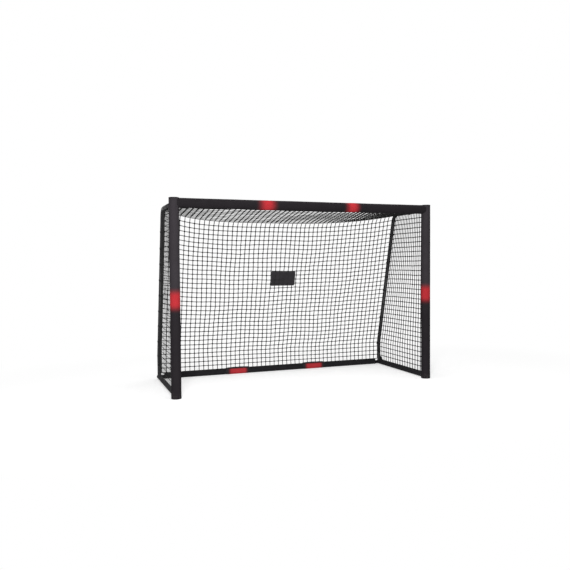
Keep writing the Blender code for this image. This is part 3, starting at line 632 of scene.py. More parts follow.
def stitch_places(route, length, pitch=0.0045, radius=0.00055):
    """Places of short stitches laid end to end along a route from 0 to 1."""
    count = max(2, round(length / pitch))
    places = []
    for i in range(count):
        start, end = route((i + 0.15) / count), route((i + 0.85) / count)
        way = end - start
        if way.length > 1e-5:
            across = X if abs(way.normalized().x) < 0.8 else Z
            stretch = Matrix.Diagonal((radius, radius, way.length / 2, 1))
            places.append(axes_matrix((start + end) / 2, way, across) @ stretch)
    return places


def stitching(name, routes, mat):
    places = [place for route in routes for place in stitch_places(*route)]
    bm, stitch = bmesh.new(), bmesh.new()
    bmesh.ops.create_icosphere(stitch, subdivisions=1, radius=1)
    add_copies(bm, stitch, places)
    return piece(name, bm, mat, smooth=180)


# Route of the side frame
def frame_line_y(height, inset=0.0):
    """The side frame's line behind the post at a height, moved forward by an inset."""
    roof_r = ROOF_BEND_R - inset
    foot_r = STAY_BEND_R - inset
    foot_z = STAY_BEND_Z - STAY_TANGENT
    if height > BEND_Z + roof_r * sin(LEAN):
        return BEND_Y + sqrt(max(0.0, roof_r ** 2 - (height - BEND_Z) ** 2))
    if height > foot_z + foot_r * sin(LEAN):
        return CORNER_Y + ((CROSSBAR_Z - height) * sin(LEAN) - inset) / cos(LEAN)
    rise = max(0.0, height - foot_z)
    return STAY_FOOT_Y - STAY_BEND_R + sqrt(foot_r ** 2 - rise ** 2)


def frame_way(height):
    """Direction of the stay at a height, upwards."""
    step = Z * 0.002 + Y * (frame_line_y(height + 0.001) - frame_line_y(height - 0.001))
    return step.normalized()


def roof_corner(radius):
    half = ROOF_TURN / 2
    return Vector((0, BEND_Y + radius * sin(half), BEND_Z + radius * cos(half)))


def roof_leg_end():
    return Vector((0, BEND_Y, BEND_Z)) + STAY_BACK * ROOF_BEND_R - STAY_UP * ROOF_LEG


# Steel tubes that show behind the pads
def button_hole(place, outward, along):
    return guide(rod(place + outward * 0.011, outward, along, BUTTON_HOLE_R, 0.012, 24))


def back_tube(name, node, origin, heading, across, path, mat, holes):
    """A powder coated tube that stands for a CAD node, with its button holes."""
    bm = pipe_skin(bmesh.new(), origin, heading, across, BACK_R, path, 40)
    face_out(bm)
    obj = piece(name, bm, mat, [node], smooth=30)
    settle(add_wall(obj, TUBE_WALL))
    return combine(obj, [button_hole(*hole) for hole in holes])


def back_tubes(mat):
    stay_bottom = UPRIGHT_TOP + NECK + JOINT
    rear_start = BAR_SPLIT_X + JOINT
    for side, name in SIDES:
        shift = X * side * POST_X
        start = shift + Y * (POST_Y + FRAME_R + JOINT) + Z * CROSSBAR_Z
        button = shift + Y * (POST_Y + FRAME_R + BUTTON_REACH) + Z * CROSSBAR_Z
        back_tube("roof_bar_" + name, "roof_tube_" + name, start, Y, X,
                  [("run", BEND_Y - start.y), ("bend", ROOF_BEND_R, ROOF_TURN, -X, 18),
                   ("run", ROOF_LEG), ("neck", NECK, SPIGOT_R), ("run", SPIGOT_RUN)], mat,
                  [(button, Z, Y)])
        foot = shift + Y * STAY_FOOT_Y
        leg_end = shift + roof_leg_end()
        bend_end = foot + Z * STAY_BEND_Z + STAY_UP * STAY_TANGENT
        back_tube("stay_bar_" + name, "stay_" + name, foot + Z * stay_bottom, Z, X,
                  [("run", STAY_BEND_Z - STAY_TANGENT - stay_bottom),
                   ("bend", STAY_BEND_R, LEAN, X, 5), ("run", (leg_end - bend_end).length)],
                  mat, [(leg_end - STAY_UP * BUTTON_REACH, STAY_BACK, STAY_UP),
                        (foot + Z * (stay_bottom + BUTTON_REACH), Y, Z)])
        bar = Vector((0, STAY_FOOT_Y, GROUND_Z))
        back_tube("rear_tube_" + name, "rear_bar_" + name, bar + X * side * rear_start,
                  X * side, Z, [("run", POST_X - BACK_R - JOINT - rear_start)], mat,
                  [(bar + X * side * (POST_X - BACK_R - REAR_END_REACH), Y, X),
                   (bar + X * side * BUTTON_X, Y, X)])
        ground_bar(side, name, mat)


def ground_bar(side, name, mat):
    """Side ground bar with its upright and inward stubs welded on at the rear corner."""
    start = Vector((side * POST_X, POST_Y + FRAME_R + JOINT, GROUND_Z))
    corner = Vector((side * POST_X, STAY_FOOT_Y, GROUND_Z))
    inward = X * -side
    rise = UPRIGHT_TOP - GROUND_Z
    length = BAR_END_Y - start.y
    obj = piece("ground_tube_" + name, rod(start, Y, X, BACK_R, length), mat,
                ["ground_bar_" + name], smooth=30)
    outer_r = BACK_R - 0.0002
    inner = SPIGOT_R - TUBE_WALL
    past = 0.015
    upright = rod(corner, Z, X, outer_r, [("run", rise), ("neck", NECK, SPIGOT_R),
                                          ("run", SPIGOT_RUN)])
    rear = rod(corner, inward, Z, SPIGOT_R, BACK_R + SPIGOT_RUN)
    combine(obj, [guide(upright), guide(rear)], "UNION")
    bores = [rod(start - Y * 0.01, Y, X, BACK_R - TUBE_WALL, length + 0.02),
             rod(corner, Z, X, outer_r - TUBE_WALL, [("run", rise), ("neck", NECK, inner),
                                                     ("run", SPIGOT_RUN + past)]),
             rod(corner, inward, Z, inner, BACK_R + SPIGOT_RUN + past)]
    foot_button = UPRIGHT_TOP + NECK + JOINT + BUTTON_REACH - GROUND_Z
    holes = [button_hole(corner + Z * foot_button, Y, Z),
             button_hole(corner + inward * (BACK_R + REAR_END_REACH), Y, X),
             button_hole(start + Y * (BUTTON_REACH - JOINT), inward, Y)]
    combine(obj, [guide(bore) for bore in bores] + holes)
    obj.data.shade_smooth()
    obj.data.set_sharp_from_angle(angle=radians(30))
    route = []
    for step in range(49):
        angle = 2 * pi * step / 48
        across, back = BACK_R * cos(angle), BACK_R * sin(angle)
        route.append(corner + Vector((across, back, sqrt(BACK_R ** 2 - across ** 2) + 0.0004)))
    bead = piece("corner_weld_" + name, curve_mesh("corner_weld_" + name, [route], 0.0016, 8),
                 mat, smooth=180)
    for vert in bead.data.vertices:
        vert.co += noise.noise_vector(vert.co * 260) * 0.0003


def end_cap(side, name, mat):
    """Plastic cap on the rear end of a side ground bar."""
    back = Vector((side * POST_X, BACK_END_Y, GROUND_Z))
    profile = [(0.0125, 0.0), (0.0170, 0.0004), (0.0192, 0.0010), (0.0205, 0.0018),
               (0.0210, 0.0025), (0.0206, 0.0030), (0.0153, 0.0030), (0.0153, 0.0095),
               (0.0145, 0.0110)]
    bm = turned(bmesh.new(), back, -Y, X, profile)
    piece("bar_cap_" + name, bm, mat,
          ["end_cap_" + name], smooth=35)


def post_foot(side, name, mat):
    """Plastic foot under a post, with a rounded rim and a ribbed plug up into the tube."""
    profile = [(0.0300, 0.0), (0.0404, 0.0), (0.0414, 0.0004), (0.0420, 0.0014),
               (0.0420, 0.0030), (0.0414, 0.0038), (0.0404, 0.0043), (0.0174, 0.0043)]
    for rib in range(3):
        low = 0.0055 + rib * 0.0035
        profile += [(0.0168, low), (0.0174, low + 0.0012), (0.0168, low + 0.0024)]
    profile += [(0.0168, 0.0165), (0.0150, 0.0180)]
    bm = turned(bmesh.new(), Vector((side * POST_X, POST_Y, 0)), Z, X, profile)
    piece("foot_" + name, bm, mat,
          ["post_foot_" + name], smooth=35)


def snap_button(node, place, outward, along, tube_r, mat):
    """A round-topped button on its spring leaf."""
    flat = (tube_r - 2 * TUBE_WALL - 0.0004) * cos(pi / 16)
    leaf_top = sqrt(flat ** 2 - 0.0055 ** 2) - JOINT
    top = tube_r + BUTTON_OUT
    bm = bmesh.new()
    foot = ring(bm, Z * (leaf_top - 0.001), Z, X, 0.0053, 24)
    foot_verts = {vert for edge in foot for vert in edge.verts}
    for vert in foot_verts:
        vert.co.x += 0.0065 if vert.co.x > 1e-5 else (-0.0065 if vert.co.x < -1e-5 else 0)
    deck = carry(bm, foot, Z * 0.0009)
    deck = carry(bm, deck, Z * 0.0001, 0.99)
    neck = carry(bm, deck, Vector())
    for vert in {vert for edge in neck for vert in edge.verts}:
        if abs(vert.co.x) > 1e-5:
            vert.co.x -= 0.0064 if vert.co.x > 0 else -0.0064
        vert.co.xy = vert.co.xy.normalized() * BUTTON_R
    last = carry(bm, neck, Z * (top - 0.0024 - leaf_top))
    radius = BUTTON_R
    for step in range(1, 7):
        angle = pi / 2 * step / 6.4
        rise = 0.0024 * (sin(angle) - sin(pi / 2 * (step - 1) / 6.4))
        last = carry(bm, last, Z * rise, BUTTON_R * cos(angle) / radius)
        radius = BUTTON_R * cos(angle)
    for edges in (foot, last):
        bmesh.ops.contextual_create(bm, geom=edges)
    face_out(bm)
    bm.transform(axes_matrix(place, outward, along))
    name = node.replace("button", "snap_button")
    piece(name, bm, mat, [node], body=node, smooth=40)


def snap_buttons(mat):
    bar = Vector((0, POST_Y, CROSSBAR_Z))
    rear = Vector((0, STAY_FOOT_Y, GROUND_Z))
    foot_z = UPRIGHT_TOP + NECK + JOINT + BUTTON_REACH
    for side, name in SIDES:
        shift = X * side
        post = Vector((side * POST_X, POST_Y, 0))
        behind = post + Y * (FRAME_R + BUTTON_REACH)
        for joint, place, outward, along, radius in (
                ("crossbar", bar + shift * BUTTON_X, Y, X, FRAME_R),
                ("post_top", post + Z * (CROSSBAR_Z - FRAME_R - BUTTON_REACH), Y, Z, FRAME_R),
                ("post", post + Z * POST_BUTTON_Z, Y, Z, FRAME_R),
                ("roof", behind + Z * CROSSBAR_Z, Z, Y, BACK_R),
                ("stay_top", shift * POST_X + roof_leg_end() - STAY_UP * BUTTON_REACH,
                 STAY_BACK, STAY_UP, BACK_R),
                ("stay_foot", shift * POST_X + Y * STAY_FOOT_Y + Z * foot_z, Y, Z, BACK_R),
                ("ground", behind + Z * GROUND_Z, -shift, Y, BACK_R),
                ("rear_end", rear + shift * (POST_X - BACK_R - REAR_END_REACH), Y, X, BACK_R),
                ("rear", rear + shift * BUTTON_X, Y, X, BACK_R)):
            snap_button("button_" + joint + "_" + name, place, outward, along, radius, mat)


# Padding on the posts and the crossbar
def flap_lift(u):
    """The outer flap rises over the sheet's other edge, which lies under it."""
    angle = u * COVER_TURN
    return 0.0011 * smooth_step((angle - 2 * pi + 0.30) / 0.25)


def hem_lift(from_edge):
    return 0.0005 * (1 - smooth_step((from_edge - HEM) / 0.002)) if from_edge < 0.02 else 0.0


def pad_dent(along, joints):
    """The cover dips a little where one foam sleeve ends and the next begins."""
    return sum(-0.0007 * max(0.0, 1 - abs(along - joint) / 0.012) for joint in joints)


def seam_rows(place, wide, tall, ends=True):
    """Routes of the stitches: two rows down the flap and one along each end."""
    rows = [(lambda t, u=1 - inset / wide: place(u, t), tall) for inset in (0.003, 0.017)]
    if ends:
        rows += [(lambda t, v=v: place(t * 0.995, v), wide) for v in (0.010 / tall,
                                                                      1 - 0.010 / tall)]
    return rows


def post_cover(side, name, mat, thread):
    base = Vector((side * POST_X, POST_Y, 0))
    bottom = FOOT_TOP
    start = pi / 2 + side * radians(50)

    def place(u, v):
        z = bottom + (COVER_TOP - bottom) * v
        angle = start + side * COVER_TURN * u
        way = Vector((cos(angle), sin(angle), 0))
        creases = wrinkle(base + way * PAD_R + Z * z, (0.035, 0.035, 0.11), 2 + side)
        fine = wrinkle(base + way * PAD_R + Z * z, (0.012, 0.012, 0.05), 5 + side)
        radius = (PAD_R + flap_lift(u) + hem_lift(z - bottom) + pad_dent(z, (POST_SPLIT_Z,))
                  + 0.0006 * creases + 0.0002 * fine)
        return base + way * radius + Z * z

    size = (PAD_R * COVER_TURN, COVER_TOP - bottom)
    bm = cloth_grid(place, (72, 300), size)
    if side > 0:
        bmesh.ops.reverse_faces(bm, faces=bm.faces)
    obj = piece("post_cover_cloth_" + name, bm, mat,
                ["post_cover_" + name], smooth=50)
    add_wall(obj, COVER_WALL)
    combine(obj, post_openings(side))
    stitching("post_seams_" + name, seam_rows(place, *size), thread)


def post_openings(side):
    """Shapes of the holes for the roof tube, the crossbar and the ground bar."""
    axis = Vector((side * POST_X, POST_Y, 0))
    inward = X * -side
    roof = rod(axis + Z * CROSSBAR_Z, Y, X, BACK_R + 0.0006, 0.08)
    across = rod(axis + Z * CROSSBAR_Z, inward, Z, FRAME_R + 0.0006, 0.08)
    ground = rod(axis + Z * GROUND_Z, Y, X, BACK_R + 0.0006, 0.08)
    for vert in ground.verts:
        if vert.co.z < GROUND_Z - 0.001:
            vert.co.z -= BACK_R
    return [guide(roof), guide(across), guide(ground)]


def post_cap(side, name, mat, cord):
    """Round top of a post pad, slightly crowned and sewn to its cover with a piped edge."""
    bm = bmesh.new()
    centre = Vector((side * POST_X, POST_Y, COVER_TOP))
    bmesh.ops.create_circle(bm, cap_ends=True, cap_tris=False, radius=PAD_R + 0.0003,
                            segments=72, matrix=Matrix.Translation(centre))
    top = bm.faces[:]
    for inward, up in ((0.0008, 0.0018), (0.0014, 0.0012), (0.0025, 0.0008), (0.005, 0.0004),
                       (0.009, 0.0004), (0.009, 0.0003), (0.007, 0.0001)):
        bmesh.ops.inset_region(bm, faces=top, thickness=inward, depth=0.0,
                               use_even_offset=True)
        bmesh.ops.translate(bm, vec=Z * up, verts=list({v for f in top for v in f.verts}))
    bmesh.ops.poke(bm, faces=top)
    face_out(bm)
    flat_uv(bm, X, Y)
    for vert in bm.verts:
        vert.co.z += 0.0004 * wrinkle(vert.co, (0.02, 0.02, 0.02), side)
    obj = piece("post_cap_" + name, bm, mat)
    add_wall(obj, COVER_WALL)
    edge = bmesh.new()
    ring(edge, centre + Z * 0.0004, Z, X, PAD_R + 0.0004, 72)
    route = [vert.co.copy() for vert in edge.verts]
    edge.free()
    piece("cap_piping_" + name, curve_mesh("cap_piping_" + name, [route + route[:1]], 0.0014, 8),
          cord, smooth=180)


def crossbar_end(dy):
    """How far out the crossbar's cover goes, at a distance dy from its axis."""
    room = (PAD_R + 0.0006) ** 2 - dy ** 2
    return min(POST_X - PAD_R / 2, POST_X - sqrt(max(0.0, room)))


def crossbar_cover(mat, thread):
    start = -radians(50)

    def place(u, v):
        angle = start + COVER_TURN * u
        way = Vector((0, cos(angle), sin(angle)))
        reach = crossbar_end(way.y * PAD_R)
        x = reach * (2 * v - 1)
        point = Vector((x, POST_Y, CROSSBAR_Z)) + way * PAD_R
        radius = (PAD_R + flap_lift(u) + pad_dent(x, (-BAR_SPLIT_X, BAR_SPLIT_X))
                  + 0.0006 * wrinkle(point, (0.12, 0.035, 0.035), 1)
                  + 0.0002 * wrinkle(point, (0.05, 0.012, 0.012), 4))
        return Vector((x, POST_Y, CROSSBAR_Z)) + way * radius

    size = (PAD_R * COVER_TURN, 2 * (POST_X - PAD_R))
    bm = cloth_grid(place, (72, 400), size)
    obj = piece("crossbar_cover_cloth", bm, mat,
                ["crossbar_cover"], smooth=50)
    add_wall(obj, COVER_WALL)
    stitching("crossbar_seams", seam_rows(place, *size), thread)


def foam_sleeve(name, node, start, heading, length, mat, openings=()):
    """A foam tube with a slit along its back, spun from its wall's section."""
    bore, outer = FRAME_R + 0.0004, FOAM_R
    slit = 0.007 / outer
    bm = bmesh.new()
    way = Matrix.Rotation(slit, 3, heading) @ Y
    corners = [bm.verts.new(start + way * radius + heading * along)
               for radius, along in ((bore, 0), (outer, 0), (outer, length), (bore, length))]
    edges = [bm.edges.new((corners[i - 1], corners[i])) for i in range(4)]
    long_edges = [edge for edge in edges if edge.calc_length() > 0.1]
    cuts = max(4, round(length / 0.03))
    bmesh.ops.subdivide_edges(bm, edges=long_edges, cuts=cuts)
    profile = bm.edges[:]
    made = bmesh.ops.spin(bm, geom=profile, cent=start, axis=heading, dvec=(0, 0, 0),
                          angle=2 * pi - 2 * slit, steps=48, use_duplicate=False)
    last = [item for item in made["geom_last"] if isinstance(item, bmesh.types.BMEdge)]
    for ends in (profile, last):
        bmesh.ops.contextual_create(bm, geom=ends)
    face_out(bm)
    obj = piece(name, bm, mat, [node], smooth=50)
    round_edges(obj, 0.002, 2, 60)
    if openings:
        combine(obj, openings)


def foams(mat):
    for side, name in SIDES:
        axis = Vector((side * POST_X, POST_Y, 0))
        for half, low, high in (("lower", FOOT_TOP, POST_SPLIT_Z),
                                ("upper", POST_SPLIT_Z + JOINT, 1.5953)):
            foam_sleeve(half + "_foam_" + name, "foam_" + half + "_" + name, axis + Z * low,
                        Z, high - low, mat, post_openings(side))
    bar = Vector((0, POST_Y, CROSSBAR_Z))
    foam_sleeve("middle_foam", "foam_crossbar_middle", bar - X * BAR_SPLIT_X, X,
                2 * BAR_SPLIT_X, mat)
    reach = 1.14
    start = BAR_SPLIT_X + JOINT
    for side, name in SIDES:
        low = -reach if side < 0 else start
        saddle = rod(Vector((side * POST_X, POST_Y, CROSSBAR_Z - 0.08)), Z, X,
                     PAD_R + 0.0006, 0.16)
        foam_sleeve("outer_foam_" + name, "foam_crossbar_" + name, bar + X * low, X,
                    reach - start, mat, [guide(saddle)])


# Sleeves and cuffs on the ground bars
def drop_loop(low_r, low_z, fin_r, top_z, count):
    """Evenly spaced points of a drop outline, round below with a small fin on top.

    It starts and ends at the top of the fin, where the cloth's two edges are sewn.
    """
    fin_z = top_z - fin_r
    tilt = acos((low_r - fin_r) / (fin_z - low_z))
    dense = []
    for steps, radius, z, start, sweep in (
            (40, fin_r, fin_z, pi / 2, tilt),
            (160, low_r, low_z, pi / 2 + tilt, 2 * pi - 2 * tilt),
            (40, fin_r, fin_z, pi / 2 - tilt, tilt)):
        for step in range(steps + 1):
            angle = start + sweep * step / steps
            dense.append(Vector((radius * cos(angle), z + radius * sin(angle))))
    route, girth = paced(dense)
    return [route(step / count) for step in range(count + 1)], girth


def ground_sleeve(name, node, start, along, across, length, top_z, mat, thread, seed):
    """A cloth sleeve round a ground bar, its edges sewn together above it as a fin."""
    around = 56
    loop, girth = drop_loop(0.0193, GROUND_Z, 0.0045, top_z, around)
    centre = Vector((0, GROUND_Z))

    def place(u, v):
        spot = min(around, max(0.0, u * around))
        step = min(around - 1, int(spot))
        flat = loop[step].lerp(loop[step + 1], spot - step)
        out = (flat - centre).normalized()
        point = start + along * length * v + across * flat.x + Z * flat.y
        high = smooth_step((flat.y - 0.012) / 0.03)
        fold = wrinkle(point, (0.022, 0.022, 0.06), seed) * 0.0014 * high
        fine = wrinkle(point, (0.010, 0.010, 0.012), seed + 3) * 0.0004
        hem = 0.0006 if min(v, 1 - v) * length < HEM else 0.0
        shape = flat + out * (fold + fine + hem)
        shape.y = max(0.0006, shape.y)
        wave = wrinkle(point, (0.05, 0.05, 0.05), seed + 9) * 0.0018 * smooth_step(
            (flat.y - 0.045) / 0.012)
        return start + along * length * v + across * (shape.x + wave) + Z * shape.y

    size = (girth, length)
    bm = cloth_grid(place, (around, max(40, round(length / 0.006))), size)
    bmesh.ops.remove_doubles(bm, verts=bm.verts, dist=1e-6)
    face_out(bm)
    obj = piece(name, bm, mat, [node], smooth=60)
    add_wall(obj, 0.0009)
    rows = [(lambda t, u=u: place(u, t), length) for u in (0.011 / girth, 1 - 0.011 / girth)]
    rows += [(lambda t, v=v: place(t, v), girth) for v in (0.010 / length, 1 - 0.010 / length)]
    stitching(name + "_seams", rows, thread)


def ground_sleeves(mat, thread):
    front = POST_Y + PAD_R + 0.0025
    side_length = STAY_FOOT_Y - BACK_R - 0.0006 - front
    for side, name in SIDES:
        ground_sleeve("side_sleeve_" + name, "ground_sleeve_" + name,
                      Vector((side * POST_X, front, 0)), Y, X, side_length, SLEEVE_TOP_SIDE,
                      mat, thread, 11 + side)
    outer = POST_X - BACK_R - 0.030
    for name, low, high, bar in (("left", -outer, -0.415, "rear_bar_left"),
                                 ("middle", -0.385, 0.385, "rear_bar_middle"),
                                 ("right", 0.415, outer, "rear_bar_right")):
        ground_sleeve("rear_bar_sleeve_" + name, "rear_sleeve_" + name,
                      Vector((low, STAY_FOOT_Y, 0)), X, Y, high - low, SLEEVE_TOP_REAR, mat,
                      thread, 15 + low)


def inflate(obj, voxel, pressure, cap, held):
    """Let a closed bag of cloth swell, with no point moved further than the cap."""
    remesh = obj.modifiers.new("Voxels", "REMESH")
    remesh.mode = "VOXEL"
    remesh.voxel_size = voxel
    settle(obj)
    rest = [vert.co.copy() for vert in obj.data.vertices]
    group = obj.vertex_groups.new(name="held")
    group.add([vert.index for vert in obj.data.vertices if held(vert.co)], 1.0, "ADD")
    cloth = obj.modifiers.new("Cloth", "CLOTH")
    cloth.settings.use_pressure = True
    cloth.settings.uniform_pressure_force = pressure
    cloth.settings.vertex_group_mass = "held"
    cloth.settings.effector_weights.gravity = 0
    for moment in range(1, 21):
        bpy.context.scene.frame_set(moment)
    settle(obj)
    bpy.context.scene.frame_set(1)
    for vert, before in zip(obj.data.vertices, rest):
        shift = vert.co - before
        if shift.length > cap:
            vert.co = before + shift * (cap / shift.length)


def cuff_scale(x, half, end):
    """The cuff's section shrinks over its rounded ends."""
    beyond = max(0.0, abs(x) - (half - end)) / end
    return 1 - 0.42 * (1 - sqrt(max(0.0, 1 - min(1.0, beyond) ** 2)))


def red_cuff(side, name, mat, thread):
    """A padded cuff round the rear bar: a sewn bag, swollen by its filling."""
    around, half, end = 48, CUFF_LENGTH / 2 - 0.001, 0.014
    rows = 56

    def place(u, v):
        t = v * (rows + 2) - 1
        x = min(half, max(-half, -half + 2 * half * t / rows))
        loop = drop_loop(0.0225, 0.0235, 0.0120, CUFF_TOP - 0.0015 - 0.004 * (x / half) ** 2,
                         around)[0]
        flat = loop[round(u * around) % around]
        middle = Vector((0, 0.030))
        factor = cuff_scale(x, half, end) if 0 <= t <= rows else 0.0
        flat = middle + (flat - middle) * factor
        return Vector((side * CUFF_X + x, STAY_FOOT_Y + flat.x, max(0.0008, flat.y)))

    bm = cloth_grid(place, (around, rows + 2), (0.19, 0.25))
    bmesh.ops.remove_doubles(bm, verts=bm.verts, dist=1e-6)
    face_out(bm)
    obj = piece("padded_cuff_" + name, bm, mat,
                ["red_cuff_" + name], smooth=180)

    def held(co):
        away = abs(co.x - side * CUFF_X)
        return co.z < 0.004 or abs(away - (half - 0.016)) < 0.0025

    inflate(obj, 0.004, 4.0, 0.0035, held)
    smoother = obj.modifiers.new("Smooth", "SUBSURF")
    smoother.levels = smoother.render_levels = 1
    settle(obj)
    for vert in obj.data.vertices:
        seam = abs(abs(vert.co.x - side * CUFF_X) - (half - 0.016))
        out = Vector((0, vert.co.y - STAY_FOOT_Y, vert.co.z - 0.030)).normalized()
        dip = 0.0016 * max(0.0, 1 - seam / 0.004)
        crease = 0.0011 * wrinkle(vert.co, (0.03, 0.02, 0.02), 31 + side)
        vert.co += out * (crease - dip)
        vert.co.z = max(0.0004, vert.co.z)
    surface = BVHTree.FromObject(obj, bpy.context.evaluated_depsgraph_get())

    def seam_route(x):
        def route(t):
            angle = pi / 2 + (t - 0.5) * radians(290)
            way = Vector((0, cos(angle), sin(angle)))
            start = Vector((x, STAY_FOOT_Y, 0.030)) + way * 0.10
            return surface.ray_cast(start, -way)[0] or start
        return route

    def ridge_route(face):
        def route(t):
            start = Vector((side * CUFF_X + (2 * t - 1) * (half - 0.02),
                            STAY_FOOT_Y + face * 0.08, 0.056))
            return surface.ray_cast(start, Y * -face)[0] or start
        return route

    routes = [(seam_route(side * CUFF_X + shift * (half - 0.016)), 0.16) for shift in (-1, 1)]
    routes += [(ridge_route(face), 2 * half - 0.04) for face in (-1, 1)]
    stitching("cuff_seams_" + name, routes, thread)
    bore = cloth_grid(lambda u, v: bore_point(side, u, v, around), (around, 2), (1, 1))
    bmesh.ops.remove_doubles(bore, verts=bore.verts, dist=1e-6)
    rims = [edge for edge in bore.edges if edge.is_boundary]
    for end_x in (-1, 1):
        rim = [edge for edge in rims
               if (edge.verts[0].co.x - side * CUFF_X) * end_x > 0]
        bmesh.ops.contextual_create(bore, geom=rim)
    combine(obj, [guide(bore)])


def bore_point(side, u, v, around):
    """The inside of a cuff: the sleeve's own outline, a little larger."""
    loop = drop_loop(0.0203, GROUND_Z + 0.0004, 0.0066, SLEEVE_TOP_REAR + 0.0009, around)[0]
    flat = loop[round(u * around) % around]
    return Vector((side * CUFF_X + (2 * v - 1) * (CUFF_LENGTH / 2 + 0.01),
                   STAY_FOOT_Y + flat.x, flat.y))


# Net
def coons(bottom, top, left, right, u, v):
    corners = (bottom(0) * (1 - u) * (1 - v) + bottom(1) * u * (1 - v)
               + top(0) * (1 - u) * v + top(1) * u * v)
    return bottom(u) * (1 - v) + top(u) * v + left(v) * (1 - u) + right(v) * u - corners


def line(start, end):
    return lambda t: start + (end - start) * t


def slack(point, amount, seed):
    """A small uneven shift, as a hung net has."""
    where = point * 3.1 + Vector((seed, 0, 0))
    shift = noise.noise_vector(where) * amount
    return point + shift + noise.noise_vector(where * 5.3) * amount * 0.35


def net_lines(edges, cells, seed, amount):
    """Rows and columns of cord between four edge curves, held along the edges."""
    wide, tall = cells
    grid = []
    for j in range(tall + 1):
        row = []
        for i in range(wide + 1):
            u, v = i / wide, j / tall
            point = coons(*edges, u, v)
            hold = min(1.0, 5 * min(u, 1 - u, v, 1 - v))
            row.append(slack(point, amount * hold, seed))
        grid.append(row)
    return grid


def net_piece(name, node, edges, size, mat, seed, amount, radius=CORD_R):
    """A net panel of knotted cord that stands for a CAD node."""
    cells = (round(size[0] / MESH), round(size[1] / MESH))
    grid = net_lines(edges, cells, seed, amount)
    columns = [[row[i] for row in grid] for i in range(cells[0] + 1)]
    mesh = curve_mesh(name, grid + columns, radius)
    bm, knot = bmesh.new(), bmesh.new()
    bm.from_mesh(mesh)
    bmesh.ops.create_uvsphere(knot, u_segments=7, v_segments=5,
                              radius=KNOT_R * radius / CORD_R)
    add_copies(bm, knot, [Matrix.Translation(point) for row in grid[1:-1] for point in row[1:-1]])
    bm.to_mesh(mesh)
    bm.free()
    obj = piece(name, mesh, mat, [node], smooth=180)


def back_edge(side):
    top = roof_corner(ROOF_BEND_R).z

    def place(v):
        height = SLEEVE_TOP_REAR + (top - SLEEVE_TOP_REAR) * v
        return Vector((side * NET_HALF, frame_line_y(height), height))

    return place


def fold_line(u):
    """The sagging line where the roof net turns down into the back net."""
    corner = roof_corner(ROOF_BEND_R)
    fullness = SAG_FULLNESS[0] if u < 0.5 else SAG_FULLNESS[1]
    height = corner.z - SAG * (1 - abs(2 * u - 1) ** fullness)
    back = corner.y + (corner.z - height) * tan(LEAN)
    return Vector((NET_HALF * (2 * u - 1), back, height))


NET_HALF = POST_X - BACK_R - EDGE_CORD_R
NET_FRONT = POST_Y + PAD_R + EDGE_CORD_R + 0.001


def side_edges(side):
    reach = BACK_R + EDGE_CORD_R
    low = SLEEVE_TOP_SIDE
    inner = ROOF_BEND_R - reach
    corner = roof_corner(inner)
    top_z = CROSSBAR_Z - reach

    def place(y, z):
        return Vector((side * POST_X, y, z))

    def top(u):
        y = NET_FRONT + (corner.y - NET_FRONT) * u
        rise = max(0.0, y - BEND_Y)
        return place(y, top_z - inner + sqrt(max(0.0, inner ** 2 - rise ** 2)))

    def rear(v):
        z = low + (corner.z - low) * v
        return place(frame_line_y(z, reach), z)

    return (line(place(NET_FRONT, low), rear(0)), top,
            line(place(NET_FRONT, low), place(NET_FRONT, top_z)), rear)


def nets(mat, edge_mat):
    left, right = back_edge(-1), back_edge(1)
    back = (line(left(0), right(0)), fold_line, left, right)
    net_piece("back_net", "net_back", back, (2.29, 1.55), mat, 1, 0.010)
    front = [Vector((side * NET_HALF, NET_FRONT, CROSSBAR_Z)) for side in (-1, 1)]
    roof = (line(*front), fold_line, line(front[0], fold_line(0)), line(front[1], fold_line(1)))
    net_piece("roof_net", "net_roof", roof, (2.29, 0.60), mat, 2, 0.008, 0.0031)
    borders = [back[2], back[3], roof[0], roof[2], roof[3], fold_line]
    for (side, name), radius in zip(SIDES, (0.0016, 0.0033)):
        edges = side_edges(side)
        net_piece("side_net_" + name, "net_side_" + name, edges, (0.82, 1.49), mat, 3 + side,
                  0.006, radius)
        borders += [edges[1], edges[2], edges[3]]
    routes = []
    for border in borders:
        routes.append([slack(border(i / 60), 0.0012, 9) for i in range(61)])
    piece("edge_cords", curve_mesh("edge_cords", routes, EDGE_CORD_R, 8), edge_mat,
          smooth=180)


def band(bm, outline, origin, heading, across, width):
    """A strip of webbing that follows an outline square to its width."""
    turn = axes_matrix(origin, heading, across)
    uv = bm.loops.layers.uv.verify()
    cells = len(outline) - 1
    made = bmesh.ops.create_grid(bm, x_segments=cells, y_segments=4, size=1)
    for vert in made["verts"]:
        flat = outline[round((vert.co.x + 1) / 2 * cells)]
        vert.co = turn @ Vector((flat.x, flat.y, vert.co.y * width / 2))
    faces = {face for vert in made["verts"] for face in vert.link_faces}
    for face in faces:
        for loop in face.loops:
            loop[uv].uv = (loop.vert.co.dot(heading), loop.vert.co.dot(across))


def strap(bm, centre, along, towards, width=0.014):
    """A hook-and-loop strap round a tube and the net's edge cord beside it."""
    loop = drop_loop(BACK_R + 0.0006, 0.0, 0.0052, BACK_R + 2 * EDGE_CORD_R + 0.003, 44)[0]
    loop = loop + [point + point.normalized() * 0.0014 for point in loop[1:12]]
    across = along.cross(towards)
    band(bm, [Vector((-point.x, point.y)) for point in loop], centre, along, -across, width)


